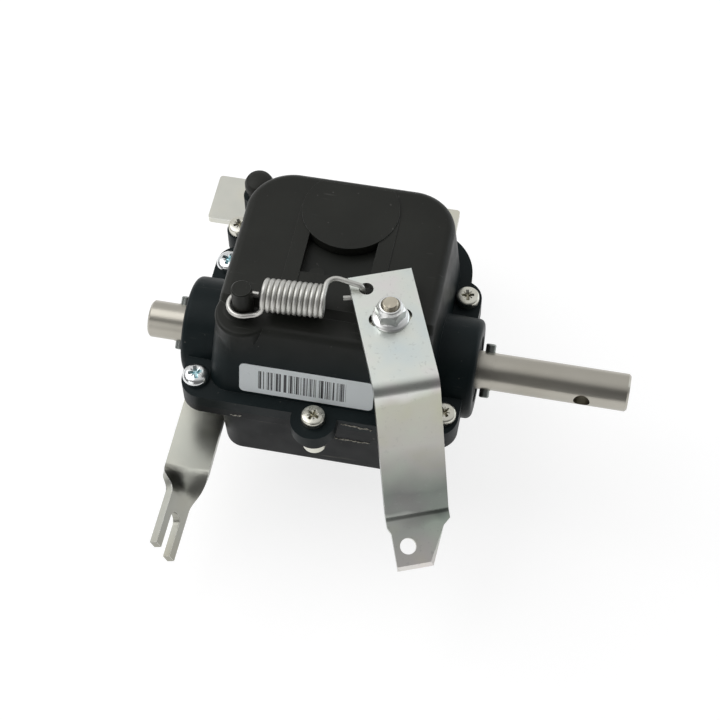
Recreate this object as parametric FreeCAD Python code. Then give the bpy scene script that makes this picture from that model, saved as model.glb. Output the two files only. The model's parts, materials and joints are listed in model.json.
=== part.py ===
import FreeCAD, Part
import math
import os

Vec = FreeCAD.Vector
across = Vec(1, 0, 0)
up = Vec(0, 0, 1)

# Frame: origin on the output shaft axis, midway between the two boss faces. X runs along the shaft,
# Y to the rear of the gearbox and Z up, square to the joint between the two housing halves.

# Clearances
running_gap = 0.05
open_gap = 0.7
press_gap = 0.06
seat_gap = 0.05
edge_break = 0.5

# Output shaft
shaft_end_d = 15.0
shaft_shoulder = 0.2
shaft_left_out = 16.9
shaft_right_out = 60.0
shaft_edge = 0.8
cross_hole_d = 6.5
cross_hole_from_end = 17.9
cross_hole_tilt = 0.0
roll_pin_d = 4.0
roll_pin_stick = 3.05
roll_pin_stand_off = 3.7
roll_pin_tilt = 38.0
roll_pin_wall = 0.75
shaft_step = 0.3

# Shaft bosses, bushes and seals
boss_r = 20.0
boss_out = 3.6
boss_round = 2.5
boss_flare = 0.6
bush_wall = 2.0
bush_length = 8.0
seal_section = 5.7
seal_width = 5.0
seal_recess = 0.6
seal_rim = 2.5
seal_lip = 1.4

# Flange between the housing halves
flange_up = 6.0
flange_low = 4.0
flange_out = 9.9
flange_front_out = 3.3
flange_mid_rear = 38.0
flange_corner = 9.0
flange_rear_side_out = 4.3
flange_rear_out = 4.8
flange_rear_corner = 23.0
screw_out = 4.2
screw_y = 28.3
third_screw_y = 46.7
front_screw_out = 1.5
front_ear_r = 9.0
front_ear_low_r = 7.2
side_ear_r = 5.4

# Flange screws, M5 pan head
screw_d = 5.0
screw_head_d = 9.4
screw_head_h = 3.8
screw_grip = 16.0
screw_hole_gap = 0.1
head_room = 0.3
nut_round_d = 9.4
nut_round_h = 8.0
nut_round_edge = 0.6

# Upper housing
wall = 3.0
body_half = 45.2
body_side_draft = 5.0
body_front = 34.2
body_front_draft = 17.0
body_rear = 57.2
body_rear_draft = 4.3
body_corner = 9.0
body_rear_corner = 18.5
plateau_z = 40.0
ledge_depth = 12.7
step_run = 3.0
ledge_below = 2.4
ledge_drop = 0.8
crown_round = 4.0
channel_half = 13.7
channel_front = 5.5
channel_depth = 4.0
rib_width = 6.0
rib_height = 0.5
disc_r = 19.3
disc_height = 1.0
ejector_d = 6.0
ejector_x = -7.5
ejector_h = 1.6
pad_round = 1.5

# Spring post
post_x = -31.0
post_y = -15.4
post_d = 8.1
post_height = 15.1
post_edge = 0.5
pad_r = 11.3
pad_below = 0.2

# Breather at the rear left corner
breather_side_in = 3.4
breather_rear_in = 2.4
breather_boss_r = 6.8
breather_boss_z = 20.5
breather_cap_r = 5.9
breather_cap_top = 31.4
breather_stem_d = 5.0
breather_stem = 6.0
breather_neck = 0.82

# Lower housing
tray_side_in = 4.8
tray_front_out = 2.6
tray_rear_in = 0.2
tray_depth = 31.0
tray_corner = 8.0
tray_draft = 2.0
tray_round = 3.0
belly_half = 15.0
pivot_boss_top = -14.5
foot_pad_d = 7.0
foot_pad_x = -21.0
foot_pad_h = 1.2

# Worm and worm wheel
tooth_module = 2.0
wheel_teeth = 26
worm_starts = 2
worm_pitch_r = 12.0
worm_length = 30.0
pressure_angle = 20.0
backlash = 0.68
wheel_half = 6.0
tip_clearance = 0.6
worm_runout = 2.0
thread_sink = 0.6

# Wheel hub and clutch on the output shaft
hub_left = 10.5
hub_seat_r = 14.0
hub_flange_step = 3.0
hub_collar = 1.5
hub_flange = 3.0
hub_wall = 1.25
cup_web = 1.5
hub_flat_cut = 0.5
sleeve_gap = 0.08
groove_wall = 1.2
sleeve_flange = 3.0
groove_depth = 1.8
groove_width = 5.0
cup_r = 16.2
cup_length = 7.0
cone_angle = 18.0
cone_wall = 2.7
cone_hub = 1.6
cone_hub_step = 1.5
engaged_gap = 0.34
lining = 1.2
cone_pin_d = 4.0
clip_wall = 1.8
clip_width = 1.2
clip_bite = 0.6
clip_mouth = 5.0
washer_t = 1.4
washer_r = 12.5

# Input shaft and its bearings
upper_bore = 10.0
upper_od = 26.0
upper_width = 8.0
bearing_roof = 0.5
lower_bore = 12.0
lower_od = 28.0
lower_width = 8.0
lower_bearing_z = -31.5
ball_count = 7
ball_share = 0.58
race_land = 0.55
input_seal_r = 11.0
input_seal_width = 5.0
input_end = -66.0
pulley_clip_from_end = 3.0
key_from_end = 8.0
input_boss_end = -38.0
input_shoulder_r = 8.0
key_width = 4.0
key_length = 14.0
key_stand = 1.6

# Clutch lever and its spindle
lever_x = 26.0
sleeve_room = 0.4
lever_above = 9.0
lever_t = 3.0
lever_width = 24.6
lever_turn = 22.0
lever_tail = 21.1
lever_front = 29.8
lever_drop = 60.8
lever_drop_angle = 69.0
tab_length = 20.9
tab_angle = 24.0
tab_end_width = 13.6
tab_end_shift = -4.4
tab_root_width = 20.4
tab_root_shift = -0.9
tab_shoulder = 2.5
bend_r = 3.0
cable_hole_d = 6.3
cable_hole_from_bend = 12.1
cable_hole_side = -5.6
spring_hole_d = 5.5
spring_hole_from_tail = 6.3
spring_hole_side = -6.3
lever_slot_length = 16.5
lever_slot_room = 0.5
spindle_d = 10.0
spindle_low_d = 6.8
spindle_low_end = -20.0
spindle_step = 6.0
spindle_boss_r = 10.0
spindle_boss_h = 17.0
spindle_bush_wall = 2.0
spacer_h = 3.0
o_ring_d = 2.4
o_ring_room = 3.2
finger_d = 3.5
finger_gap = 0.5
lever_swing = 25.0
stud_d = 6.0
stud_height = 10.3
stud_chamfer = 0.8
stud_shoulder = 0.3
nut_flange_d = 14.2
nut_flange_h = 1.6
nut_rim = 0.6
nut_blend = 0.4
nut_hex = 10.0
nut_h = 8.2
nut_chamfer = 0.9
nut_turn = 31.5
spacer_r = 9.0

# Return spring
wire_d = 2.0
coil_r = 5.6
coil_turns = 11.25
coil_start = -90.0
coil_pitch_gap = 0.04
coil_clear = 1.49
coil_behind_post = 2.4
coil_lift = 9.6
coil_skew = 3.0
loop_gap = 0.5
loop_lift = 4.8
loop_tail = 4.8
loop_bend = 4.2
hook_rise = 2.0
hook_back = 7.6
hook_pull = 1.4
hook_under = 1.8
hook_tip = 7.2
hook_lean = 2.0
hook_bend = 4.2

# Torque bracket
bracket_t = 3.0
bracket_top = -20.6
arm_width = 18.0
arm_gap = 0.4
arm_front = -53.5
twist_length = 15.5
twist_angle = 68.0
twist_steps = 6
fork_length = 22.0
fork_width = 15.0
fork_slot = 7.0
fork_slot_length = 17.0
fork_sway = 1.0
fork_fall = 2.0
bar_left = -71.5
bar_right = 36.4
bar_front = 70.5
bar_rear = 94.7
bar_corner = 1.5
bar_hole_d = 8.5
bar_hole_x = 30.0
bar_hole_span = 60.0
lug_half_y = 16.0
lug_inset = 1.0
lug_reach = 4.0
bracket_screw_y = 10.0
bracket_screw_d = 6.0
bracket_screw_head_d = 11.0
bracket_screw_head_h = 4.0
bracket_screw_bite = 9.0

# Label on the sloped front wall
label_left = -31.0
label_width = 53.0
label_height = 13.6
label_low_z = 7.6
label_t = 0.2
label_corner = 2.0

# Housing sizes worked out from those above
flange_half = body_half + flange_out
flange_front = body_front + flange_front_out
flange_rear_half = body_half + flange_rear_side_out
flange_rear = body_rear + flange_rear_out
screw_x = body_half + screw_out
front_screw_y = flange_front + front_screw_out
boss_face = flange_half + boss_out
tray_half = body_half - tray_side_in
tray_front = body_front + tray_front_out
tray_rear = body_rear - tray_rear_in
breather_x = breather_side_in - body_half
breather_y = body_rear - breather_rear_in
ledge_z = plateau_z - ledge_below
plateau_front = body_front - ledge_z * math.tan(math.radians(body_front_draft)) - ledge_depth
pad_z = ledge_z - pad_below
post_top = pad_z + post_height
arm_right = arm_gap - tray_half
arm_left = arm_right - arm_width
beyond = 4 * flange_rear

# Shaft, worm and clutch sizes worked out from those above
shaft_d = shaft_end_d + 2 * shaft_shoulder
shaft_r = shaft_d / 2
shaft_left = boss_face + shaft_left_out
shaft_right = boss_face + shaft_right_out
roll_pin_length = shaft_d + 2 * roll_pin_stick
seal_r = shaft_r + seal_section
wheel_r = tooth_module * wheel_teeth / 2
wheel_tip_r = wheel_r + tooth_module
input_y = wheel_r + worm_pitch_r
worm_tip_r = worm_pitch_r + tooth_module
worm_root_r = worm_pitch_r - 1.25 * tooth_module
worm_lead = math.pi * tooth_module * worm_starts
bush_r = shaft_r + running_gap + bush_wall
seal_in = boss_face - seal_recess - seal_width
bush_in = seal_in - bush_length
belly_r = wheel_tip_r + tip_clearance + wall
cavity_r = cup_r + open_gap
hub_flange_r = hub_seat_r + hub_flange_step
hub_track_r = shaft_r + running_gap + hub_wall
hub_flat = hub_track_r - hub_flat_cut
groove_r = hub_track_r + groove_wall
sleeve_flange_r = groove_r + groove_depth
cone_small_r = shaft_r + cone_wall
lever_y = -sleeve_flange_r - sleeve_room - spindle_low_d / 2
finger_reach = -lever_y - groove_r - finger_gap
finger_tilt = math.radians(lever_swing / 2)
finger_mid = (finger_reach + (-lever_y - sleeve_flange_r)) / 2
sleeve_travel = 2 * finger_mid * math.sin(finger_tilt)
groove_mid = lever_x - sleeve_travel / 2
sleeve_left = groove_mid - groove_width / 2 - sleeve_flange
cup_start = groove_mid + groove_width / 2 + sleeve_flange
hub_track_end = cup_start + cup_web + sleeve_travel + 4 * running_gap
cone_start = hub_track_end + washer_t + 2 * seat_gap
cone_end = bush_in - washer_t - 2 * seat_gap
cone_length = cone_end - cone_start - cone_hub
cone_pin_x = cone_start + cone_length / 2
cone_slope = math.tan(math.radians(cone_angle))
upper_bearing_z = plateau_z - channel_depth - wall - bearing_roof - upper_width
lever_top = plateau_z + lever_above
lever_low = lever_top - lever_t
lever_slot_width = stud_d + lever_slot_room
spindle_boss_top = lever_low - spacer_h
spindle_bush_low = spindle_boss_top - spindle_boss_h
spindle_step_z = spindle_bush_low - spindle_step
stud_end = lever_top + stud_height
roll_pin_x = boss_face + roll_pin_stand_off
shaft_step_x = roll_pin_x + roll_pin_d / 2 + shaft_step
pulley_clip_low = input_end + pulley_clip_from_end
key_low = input_end + key_from_end
cross_hole_x = shaft_right - cross_hole_from_end


def rod(radius, start, end):
    span = end.sub(start)
    return Part.makeCylinder(radius, span.Length, start, span)


def ring(outer, inner, start, end):
    return rod(outer, start, end).cut(rod(inner, start, end))


def box(low, high):
    size = high.sub(low)
    return Part.makeBox(size.x, size.y, size.z, low)


def placed(shape, base, axis):
    shape.Placement = FreeCAD.Placement(base, FreeCAD.Rotation(up, axis))
    return shape


def turned(outline, base, axis):
    points = [Vec(radius, 0, height) for radius, height in outline]
    points.append(points[0])
    solid = Part.Face(Part.makePolygon(points)).revolve(Vec(0, 0, 0), up, 360)
    return placed(solid, base, axis)


def x_turned(outline):
    return turned(outline, Vec(0, 0, 0), across)


def rounded_wire(corners):
    # Straight runs with a tangent arc of the given radius at each corner.
    edges = []
    ends = []
    count = len(corners)
    for index in range(count):
        before = corners[index - 1][0]
        point, radius = corners[index]
        after = corners[(index + 1) % count][0]
        to_before = before.sub(point).normalize()
        to_after = after.sub(point).normalize()
        if radius == 0:
            ends.append((point, None, point))
            continue
        half = to_before.getAngle(to_after) / 2
        reach = radius / math.tan(half)
        middle = to_before.add(to_after).normalize().multiply(radius / math.sin(half) - radius)
        ends.append((point.add(to_before * reach), point.add(middle), point.add(to_after * reach)))
    for index in range(count):
        first, middle, last = ends[index]
        following = ends[(index + 1) % count][0]
        if middle is not None:
            edges.append(Part.Arc(first, middle, last).toShape())
        if last.distanceToPoint(following) > 1e-6:
            edges.append(Part.LineSegment(last, following).toShape())
    return Part.Wire(edges)


def plan_wire(half, front, rear, front_corner, rear_corner, z):
    return rounded_wire([
        (Vec(-half, -front, z), front_corner),
        (Vec(half, -front, z), front_corner),
        (Vec(half, rear, z), rear_corner),
        (Vec(-half, rear, z), rear_corner),
    ])


def plate(wire, thickness):
    return Part.Face(wire).extrude(Vec(0, 0, thickness))


def side_prism(corners, half):
    # A Y-Z outline with corner radii, extruded across the gearbox.
    wire = rounded_wire([(Vec(-half, y, z), radius) for y, z, radius in corners])
    return Part.Face(wire).extrude(Vec(2 * half, 0, 0))


def draft_in(height, degrees):
    return height * math.tan(math.radians(degrees))


def screw_places():
    places = [(side * screw_x, end * screw_y) for side in (-1, 1) for end in (-1, 1)]
    places.append((-screw_x, third_screw_y))
    places.append((0, -front_screw_y))
    return places


def flange_plate(low, high, front_ear):
    height = high - low
    main = plan_wire(flange_half, flange_front, flange_mid_rear, flange_corner, flange_corner, low)
    rear = plan_wire(flange_rear_half, 0, flange_rear, flange_corner, flange_rear_corner, low)
    ears = [
        rod(side_ear_r, Vec(-screw_x, third_screw_y, low), Vec(-screw_x, third_screw_y, high)),
        rod(front_ear, Vec(0, -front_screw_y, low), Vec(0, -front_screw_y, high)),
        rod(breather_boss_r, Vec(breather_x, breather_y, low), Vec(breather_x, breather_y, high)),
    ]
    return plate(main, height).fuse([plate(rear, height)] + ears).removeSplitter()


def screw_holes(low, high):
    radius = screw_d / 2 + screw_hole_gap
    return [rod(radius, Vec(x, y, low), Vec(x, y, high)) for x, y in screw_places()]


def head_rooms():
    # Spot faces that let the screw heads sit close beside the hood.
    radius = screw_head_d / 2 + head_room
    return [rod(radius, Vec(x, y, flange_up), Vec(x, y, breather_boss_z)) for x, y in screw_places()]


def boss_half(side, keep):
    # One half of a shaft boss, rounded at its outer rim.
    inner = tray_half - 2 * wall
    outline = [
        (0, inner),
        (boss_r + boss_flare, inner),
        (boss_r, boss_face),
        (0, boss_face),
    ]
    whole = turned(outline, Vec(0, 0, 0), across * side)
    rim = [edge for edge in whole.Edges if abs(edge.CenterOfMass.x - side * boss_face) < 0.01
           and edge.Length > boss_r * 5]
    return whole.makeFillet(boss_round, rim).common(keep)


def boss_bore(side):
    outline = [
        (0, 0),
        (cavity_r, 0),
        (cavity_r, bush_in),
        (bush_r + press_gap, bush_in),
        (bush_r + press_gap, seal_in),
        (seal_r + press_gap, seal_in),
        (seal_r + press_gap, boss_face + 1),
        (0, boss_face + 1),
    ]
    return turned(outline, Vec(0, 0, 0), across * side)


def upper_block():
    return box(Vec(-beyond, -beyond, 0), Vec(beyond, beyond, beyond))


def lower_block():
    return box(Vec(-beyond, -beyond, -beyond), Vec(beyond, beyond, 0))


def body_shell(inset, top, ledge, step):
    # The drafted hood of the upper half, standing on the joint plane, with its lower front ledge.
    half_top = body_half - draft_in(top, body_side_draft)
    front_top = body_front - draft_in(top, body_front_draft)
    rear_top = body_rear - draft_in(top, body_rear_draft)
    base = plan_wire(body_half - inset, body_front - inset, body_rear - inset,
                     body_corner - inset / 2, body_rear_corner - inset, 0)
    crown = plan_wire(half_top - inset, front_top - inset, rear_top - inset,
                      body_corner - inset / 2, body_rear_corner - inset, top)
    hood = Part.makeLoft([base, crown], True, True)
    cutter = side_prism([
        (-beyond, ledge - ledge_drop, 0),
        (-step - step_run, ledge, 0),
        (-step, top, 0),
        (-step, beyond, 0),
        (-beyond, beyond, 0),
    ], beyond)
    return hood.cut(cutter)


def near_z(edge, z, slack):
    return abs(edge.BoundBox.ZMin - z) < slack and abs(edge.BoundBox.ZMax - z) < slack


def hood_solid():
    hood = body_shell(0, plateau_z, ledge_z, plateau_front)
    crown_width = 2 * (body_half - draft_in(plateau_z, body_side_draft))
    rim = [edge for edge in hood.Edges if edge.BoundBox.ZMin > ledge_z - ledge_drop - 1
           and edge.BoundBox.XLength < crown_width - 1]
    hood = hood.makeFillet(crown_round, rim)
    channel = box(Vec(-channel_half, channel_front, plateau_z - channel_depth),
                  Vec(channel_half, input_y, plateau_z + channel_depth))
    return hood.cut(channel)


def crown_features():
    # The bearing disc, the two low ribs beside the channel and the ejector mark in the channel floor.
    disc_centre = Vec(0, input_y, 0)
    rear_limit = body_rear - draft_in(plateau_z, body_rear_draft) - crown_round
    disc = rod(disc_r, disc_centre + up * (plateau_z - wall), disc_centre + up * (plateau_z + disc_height))
    disc = disc.common(box(Vec(-beyond, -beyond, 0), Vec(beyond, rear_limit, beyond)))
    channel_floor = plateau_z - channel_depth
    ejector = Vec(ejector_x, channel_front + ejector_d / 4, channel_floor - 1)
    features = [disc, rod(ejector_d / 2, ejector, ejector + up * (1 + ejector_h))]
    for side in (-1, 1):
        near = side * channel_half
        far = side * (channel_half + rib_width)
        features.append(box(Vec(min(near, far), channel_front - rib_width, plateau_z - 1),
                            Vec(max(near, far), input_y, plateau_z + rib_height)))
    return features


def spring_post():
    foot = Vec(post_x, post_y, 0)
    pad = rod(pad_r, foot + up * flange_up, foot + up * pad_z)
    pad = pad.makeFillet(pad_round, [edge for edge in pad.Edges if near_z(edge, pad_z, 0.01)])
    peg = rod(post_d / 2, foot + up * (pad_z - 1), foot + up * post_top)
    peg = peg.makeChamfer(post_edge, [edge for edge in peg.Edges if near_z(edge, post_top, 0.01)])
    return pad, peg


def upper_housing():
    pad, peg = spring_post()
    spindle = Vec(lever_x, lever_y, 0)
    spindle_boss = rod(spindle_boss_r, spindle + up * spindle_bush_low, spindle + up * spindle_boss_top)
    vent = Vec(breather_x, breather_y, 0)
    vent_boss = rod(breather_boss_r, vent, vent + up * breather_boss_z)
    bearing = Vec(0, input_y, 0)
    bearing_top = upper_bearing_z + upper_width
    bearing_seat = rod(upper_od / 2 + wall, bearing + up * upper_bearing_z, bearing + up * plateau_z)
    bearing_seat = bearing_seat.common(body_shell(wall / 2, plateau_z - 1, ledge_z, plateau_front))
    inner = body_shell(wall, plateau_z - wall - channel_depth, ledge_z - wall, plateau_front - wall)
    shell = hood_solid().fuse([flange_plate(0, flange_up, front_ear_r), pad, vent_boss] + crown_features())
    shell = shell.fuse([boss_half(side, upper_block()) for side in (-1, 1)])
    shell = shell.cut([inner] + head_rooms())
    shell = shell.fuse([peg, spindle_boss, bearing_seat])
    bush_hole = spindle_d / 2 + running_gap + spindle_bush_wall + press_gap
    ring_floor = spindle_boss_top - o_ring_room
    cuts = [boss_bore(side) for side in (-1, 1)]
    cuts += screw_holes(-1, flange_up + 1)
    cuts.append(rod(bush_hole, spindle, spindle + up * ring_floor))
    cuts.append(rod(spindle_d / 2 + o_ring_d, spindle + up * ring_floor, spindle + up * beyond))
    cuts.append(rod(upper_od / 2 + press_gap, bearing, bearing + up * bearing_top))
    cuts.append(rod(upper_bore / 2 + wall, bearing, bearing + up * (bearing_top + 1)))
    stem_room = breather_boss_z - breather_stem - 1
    cuts.append(rod(breather_stem_d / 2 + press_gap, vent + up * stem_room, vent + up * beyond))
    return shell.cut(cuts).removeSplitter()


def lower_housing():
    taper = draft_in(tray_depth, tray_draft)
    top = plan_wire(tray_half, tray_front, tray_rear, tray_corner, tray_corner, 0)
    floor = plan_wire(tray_half - taper, tray_front - taper, tray_rear - taper,
                      tray_corner, tray_corner, -tray_depth)
    tray = Part.makeLoft([top, floor], True, True)
    tray = tray.makeFillet(tray_round, [edge for edge in tray.Edges if near_z(edge, -tray_depth, 0.01)])
    belly = rod(belly_r, Vec(-belly_half, 0, 0), Vec(belly_half, 0, 0)).common(lower_block())
    lug = box(Vec(arm_left + lug_inset, -lug_half_y, bracket_top),
              Vec(arm_right + lug_reach, lug_half_y, -boss_r / 2))
    foot = Vec(foot_pad_x, -tray_front + taper + tray_round + foot_pad_d / 2, -tray_depth)
    foot_pad = rod(foot_pad_d / 2, foot - up * foot_pad_h, foot + up * 1)
    shell = tray.fuse([belly, lug, foot_pad, flange_plate(-flange_low, 0, front_ear_low_r)])
    shell = shell.fuse([boss_half(side, lower_block()) for side in (-1, 1)])
    inner_top = plan_wire(tray_half - wall, tray_front - wall, tray_rear - wall,
                          tray_corner - wall, tray_corner - wall, 0)
    inner_floor = plan_wire(tray_half - wall - taper, tray_front - wall - taper, tray_rear - wall - taper,
                            tray_corner - wall, tray_corner - wall, -tray_depth + wall)
    nut = Vec(0, -front_screw_y, 0)
    nut_r = nut_round_d / 2 + head_room
    nut_wall = rod(nut_r + wall, nut - up * (flange_low + nut_round_h + wall), nut)
    nut_room = rod(nut_r, nut - up * (flange_low + nut_round_h + head_room), nut - up * flange_low)
    inner = Part.makeLoft([inner_top, inner_floor], True, True).cut(nut_wall)
    trough = rod(belly_r - wall, Vec(-belly_half + wall, 0, 0), Vec(belly_half - wall, 0, 0))
    spindle = Vec(lever_x, lever_y, 0)
    pivot_boss = rod(spindle_low_d / 2 + wall, spindle - up * (tray_depth - 1), spindle + up * pivot_boss_top)
    centre = Vec(0, input_y, 0)
    bearing_top = lower_bearing_z + lower_width
    input_boss = rod(lower_od / 2 + wall, centre + up * input_boss_end, centre + up * bearing_top)
    shell = shell.cut([inner, trough]).fuse([pivot_boss, input_boss])
    cuts = [boss_bore(side) for side in (-1, 1)]
    cuts += screw_holes(-flange_low - 1, 1)
    cuts.append(nut_room)
    seal_top = input_boss_end + input_seal_width + seal_recess
    cuts.append(rod(lower_od / 2 + press_gap, centre + up * lower_bearing_z, centre))
    cuts.append(rod(input_seal_r + press_gap, centre + up * (input_boss_end - 1), centre + up * seal_top))
    cuts.append(rod(lower_bore / 2 + wall, centre + up * input_boss_end, centre + up * bearing_top))
    cuts.append(rod(spindle_low_d / 2 + running_gap, spindle + up * (spindle_low_end - seal_recess), spindle))
    hole = bracket_screw_d / 2 + screw_hole_gap
    middle = (arm_left + arm_right) / 2
    for side in (-1, 1):
        at = Vec(middle, side * bracket_screw_y, bracket_top)
        cuts.append(rod(hole, at - up * 1, at + up * bracket_screw_bite))
    return shell.cut(cuts).removeSplitter()


def label():
    slope = math.radians(body_front_draft)
    rise = Vec(0, math.sin(slope), math.cos(slope))
    outward = Vec(0, -math.cos(slope), math.sin(slope))
    foot = Vec(label_left, -body_front + draft_in(label_low_z, body_front_draft), label_low_z)
    corners = [
        foot,
        foot + across * label_width,
        foot + across * label_width + rise * label_height,
        foot + rise * label_height,
    ]
    wire = rounded_wire([(corner, label_corner) for corner in corners])
    return Part.Face(wire).extrude(outward * label_t)


def pan_screw(x, y, seat, length, diameter, head_d, head_h, direction):
    # A pan head with a domed top on a plain shank.
    head_r = head_d / 2
    shank_r = diameter / 2
    outline = [
        (0, -length),
        (shank_r - edge_break, -length),
        (shank_r, -length + edge_break),
        (shank_r, 0),
        (head_r, 0),
        (head_r, head_h * 0.45),
        (head_r * 0.88, head_h * 0.78),
        (head_r * 0.6, head_h * 0.95),
        (0, head_h),
    ]
    return turned(outline, Vec(x, y, seat), direction)


def flange_screws():
    return Part.makeCompound([
        pan_screw(x, y, flange_up, screw_grip - flange_up, screw_d, screw_head_d, screw_head_h, up)
        for x, y in screw_places()
    ])


def front_nut():
    top = Vec(0, -front_screw_y, -flange_low)
    low = top - up * nut_round_h
    body = ring(nut_round_d / 2, screw_d / 2 + screw_hole_gap, low, top)
    rims = [edge for edge in body.Edges if edge.Length > nut_round_d * 3 and near_z(edge, low.z, 0.01)]
    return body.makeChamfer(nut_round_edge, rims)


def breather_cap():
    head = breather_cap_r
    neck = head * breather_neck
    stem = breather_stem_d / 2
    low = breather_boss_z
    height = breather_cap_top - low
    outline = [
        (0, low - breather_stem),
        (stem, low - breather_stem),
        (stem, low),
        (neck, low),
        (neck, low + height * 0.4),
        (head, low + height * 0.48),
        (head, low + height * 0.72),
        (head * 0.86, low + height * 0.89),
        (head * 0.5, low + height * 0.98),
        (0, breather_cap_top),
    ]
    return turned(outline, Vec(breather_x, breather_y, 0), up)


def shaft_bush(side):
    return ring(bush_r, shaft_r + running_gap, across * (side * bush_in), across * (side * seal_in))


def lip_seal(rim_r, bore, inside, outside):
    # A rim, a dished outer face and a lip that runs on the shaft.
    lip = bore + running_gap
    out = seal_lip if outside > inside else -seal_lip
    return [
        (rim_r, inside),
        (rim_r, outside),
        (rim_r - seal_rim, outside),
        (lip + seal_lip, outside - out),
        (lip, outside - out * 0.7),
        (lip, outside - out * 1.8),
        (rim_r - seal_rim, inside + out * 1.2),
        (rim_r - seal_rim, inside),
    ]


def shaft_seal(side):
    return turned(lip_seal(seal_r, shaft_r, seal_in, seal_in + seal_width), Vec(0, 0, 0), across * side)


def cross_rod(radius, x, tilt, half_length):
    angle = math.radians(tilt)
    way = Vec(0, math.cos(angle), math.sin(angle))
    return rod(radius, across * x - way * half_length, across * x + way * half_length)


def output_shaft():
    end_r = shaft_end_d / 2
    bar = x_turned([
        (0, -shaft_left),
        (end_r - shaft_edge, -shaft_left),
        (end_r, -shaft_left + shaft_edge),
        (end_r, -shaft_step_x),
        (shaft_r, -shaft_step_x),
        (shaft_r, shaft_step_x),
        (end_r, shaft_step_x),
        (end_r, shaft_right - shaft_edge),
        (end_r - shaft_edge, shaft_right),
        (0, shaft_right),
    ])
    cuts = [cross_rod(cross_hole_d / 2, cross_hole_x, cross_hole_tilt, shaft_d)]
    for x in (-roll_pin_x, roll_pin_x):
        cuts.append(cross_rod(roll_pin_d / 2 + press_gap, x, roll_pin_tilt, shaft_d))
    cuts.append(cross_rod(cone_pin_d / 2 + press_gap, cone_pin_x, 90, shaft_d))
    for low in clip_places():
        cuts.append(ring(shaft_r + 1, shaft_r - clip_bite, across * low, across * (low + clip_width)))
    return bar.cut(cuts)


def roll_pins():
    # Hollow spring pins driven across the shaft just outside each boss.
    pins = []
    for x in (-roll_pin_x, roll_pin_x):
        pin = cross_rod(roll_pin_d / 2, x, roll_pin_tilt, roll_pin_length / 2)
        pin = pin.cut(cross_rod(roll_pin_d / 2 - roll_pin_wall, x, roll_pin_tilt, roll_pin_length))
        pins.append(pin)
    return Part.makeCompound(pins)


def clip_places():
    left_bush_clip = -bush_in + washer_t + 2 * seat_gap
    hub_clip = -hub_left - washer_t - 2 * seat_gap - clip_width
    return [left_bush_clip, hub_clip]


def shaft_clips():
    clips = []
    for low in clip_places():
        inner = shaft_r - clip_bite + seat_gap
        start = across * (low + seat_gap)
        end = across * (low + clip_width - seat_gap)
        body = ring(inner + clip_wall, inner, start, end)
        mouth = box(Vec(low - 1, -clip_mouth / 2, 0),
                    Vec(low + clip_width + 1, clip_mouth / 2, inner + clip_wall + 1))
        clips.append(body.cut(mouth))
    return Part.makeCompound(clips)


def shaft_washers():
    inner = shaft_r + running_gap
    starts = [
        -bush_in + seat_gap,
        -hub_left - seat_gap - washer_t,
        hub_track_end + seat_gap,
        bush_in - seat_gap - washer_t,
    ]
    radii = [washer_r, hub_track_r + hub_collar, hub_track_r, washer_r]
    return Part.makeCompound([
        ring(radius, inner, across * low, across * (low + washer_t))
        for low, radius in zip(starts, radii)
    ])


def driven_cone():
    far = cone_start + cone_length
    inner = shaft_r + press_gap
    cone = x_turned([
        (inner, cone_start),
        (cone_small_r, cone_start),
        (cone_small_r + cone_length * cone_slope, far),
        (washer_r - cone_hub_step, far),
        (washer_r - cone_hub_step, cone_end),
        (inner, cone_end),
    ])
    return cone.cut(cross_rod(cone_pin_d / 2 + press_gap, cone_pin_x, 90, boss_r))


def cone_pin():
    return cross_rod(cone_pin_d / 2, cone_pin_x, 90, cone_small_r)


def involute(base_r, radius):
    spread = math.sqrt(max((radius / base_r) ** 2 - 1, 0))
    return spread - math.atan(spread)


def wheel_section(x):
    # Involute teeth in the plane square to the wheel, with a tooth space centred on the worm side.
    pressure = math.radians(pressure_angle)
    base_r = wheel_r * math.cos(pressure)
    root_r = wheel_r - 1.25 * tooth_module
    tooth_half = (math.pi * tooth_module / 2 - backlash / 2) / (2 * wheel_r)
    lead_angle = math.atan(worm_starts * tooth_module / (2 * worm_pitch_r))
    twist = x * math.tan(lead_angle) / wheel_r
    pitch_angle = 2 * math.pi / wheel_teeth
    start_r = max(base_r, root_r)
    radii = [start_r + (wheel_tip_r - start_r) * step / 3 for step in range(4)]
    offset = tooth_half + involute(base_r, wheel_r)

    def spot(radius, angle):
        return Vec(x, radius * math.cos(angle), radius * math.sin(angle))

    edges = []
    for tooth in range(wheel_teeth):
        middle = (tooth + 0.5) * pitch_angle + twist
        rising = [spot(radius, middle - offset + involute(base_r, radius)) for radius in radii]
        falling = [spot(radius, middle + offset - involute(base_r, radius)) for radius in reversed(radii)]
        root_before = spot(root_r, middle - offset)
        root_after = spot(root_r, middle + offset)
        next_root = spot(root_r, middle + pitch_angle - offset)
        run = [root_before] + rising + falling + [root_after, next_root]
        for first, last in zip(run, run[1:]):
            if first.distanceToPoint(last) > 1e-6:
                edges.append(Part.LineSegment(first, last).toShape())
    return Part.Wire(edges)


def worm_wheel():
    sections = [wheel_section(x) for x in (-wheel_half, 0, wheel_half)]
    blank = Part.makeLoft(sections, True, True)
    bore = rod(hub_seat_r + press_gap, across * (-wheel_half - 1), across * (wheel_half + 1))
    recess = ring(wheel_r - 2 * tooth_module, hub_flange_r + open_gap,
                  across * (wheel_half - tooth_module), across * (wheel_half + 1))
    return blank.cut([bore, recess])


def hub_track(start, end, gap):
    # The round bar with two flats on which the sleeve slides.
    track = rod(hub_track_r + gap, across * start, across * end)
    flats = box(Vec(-beyond, -beyond, -hub_flat - gap), Vec(beyond, beyond, hub_flat + gap))
    return track.common(flats)


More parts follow.
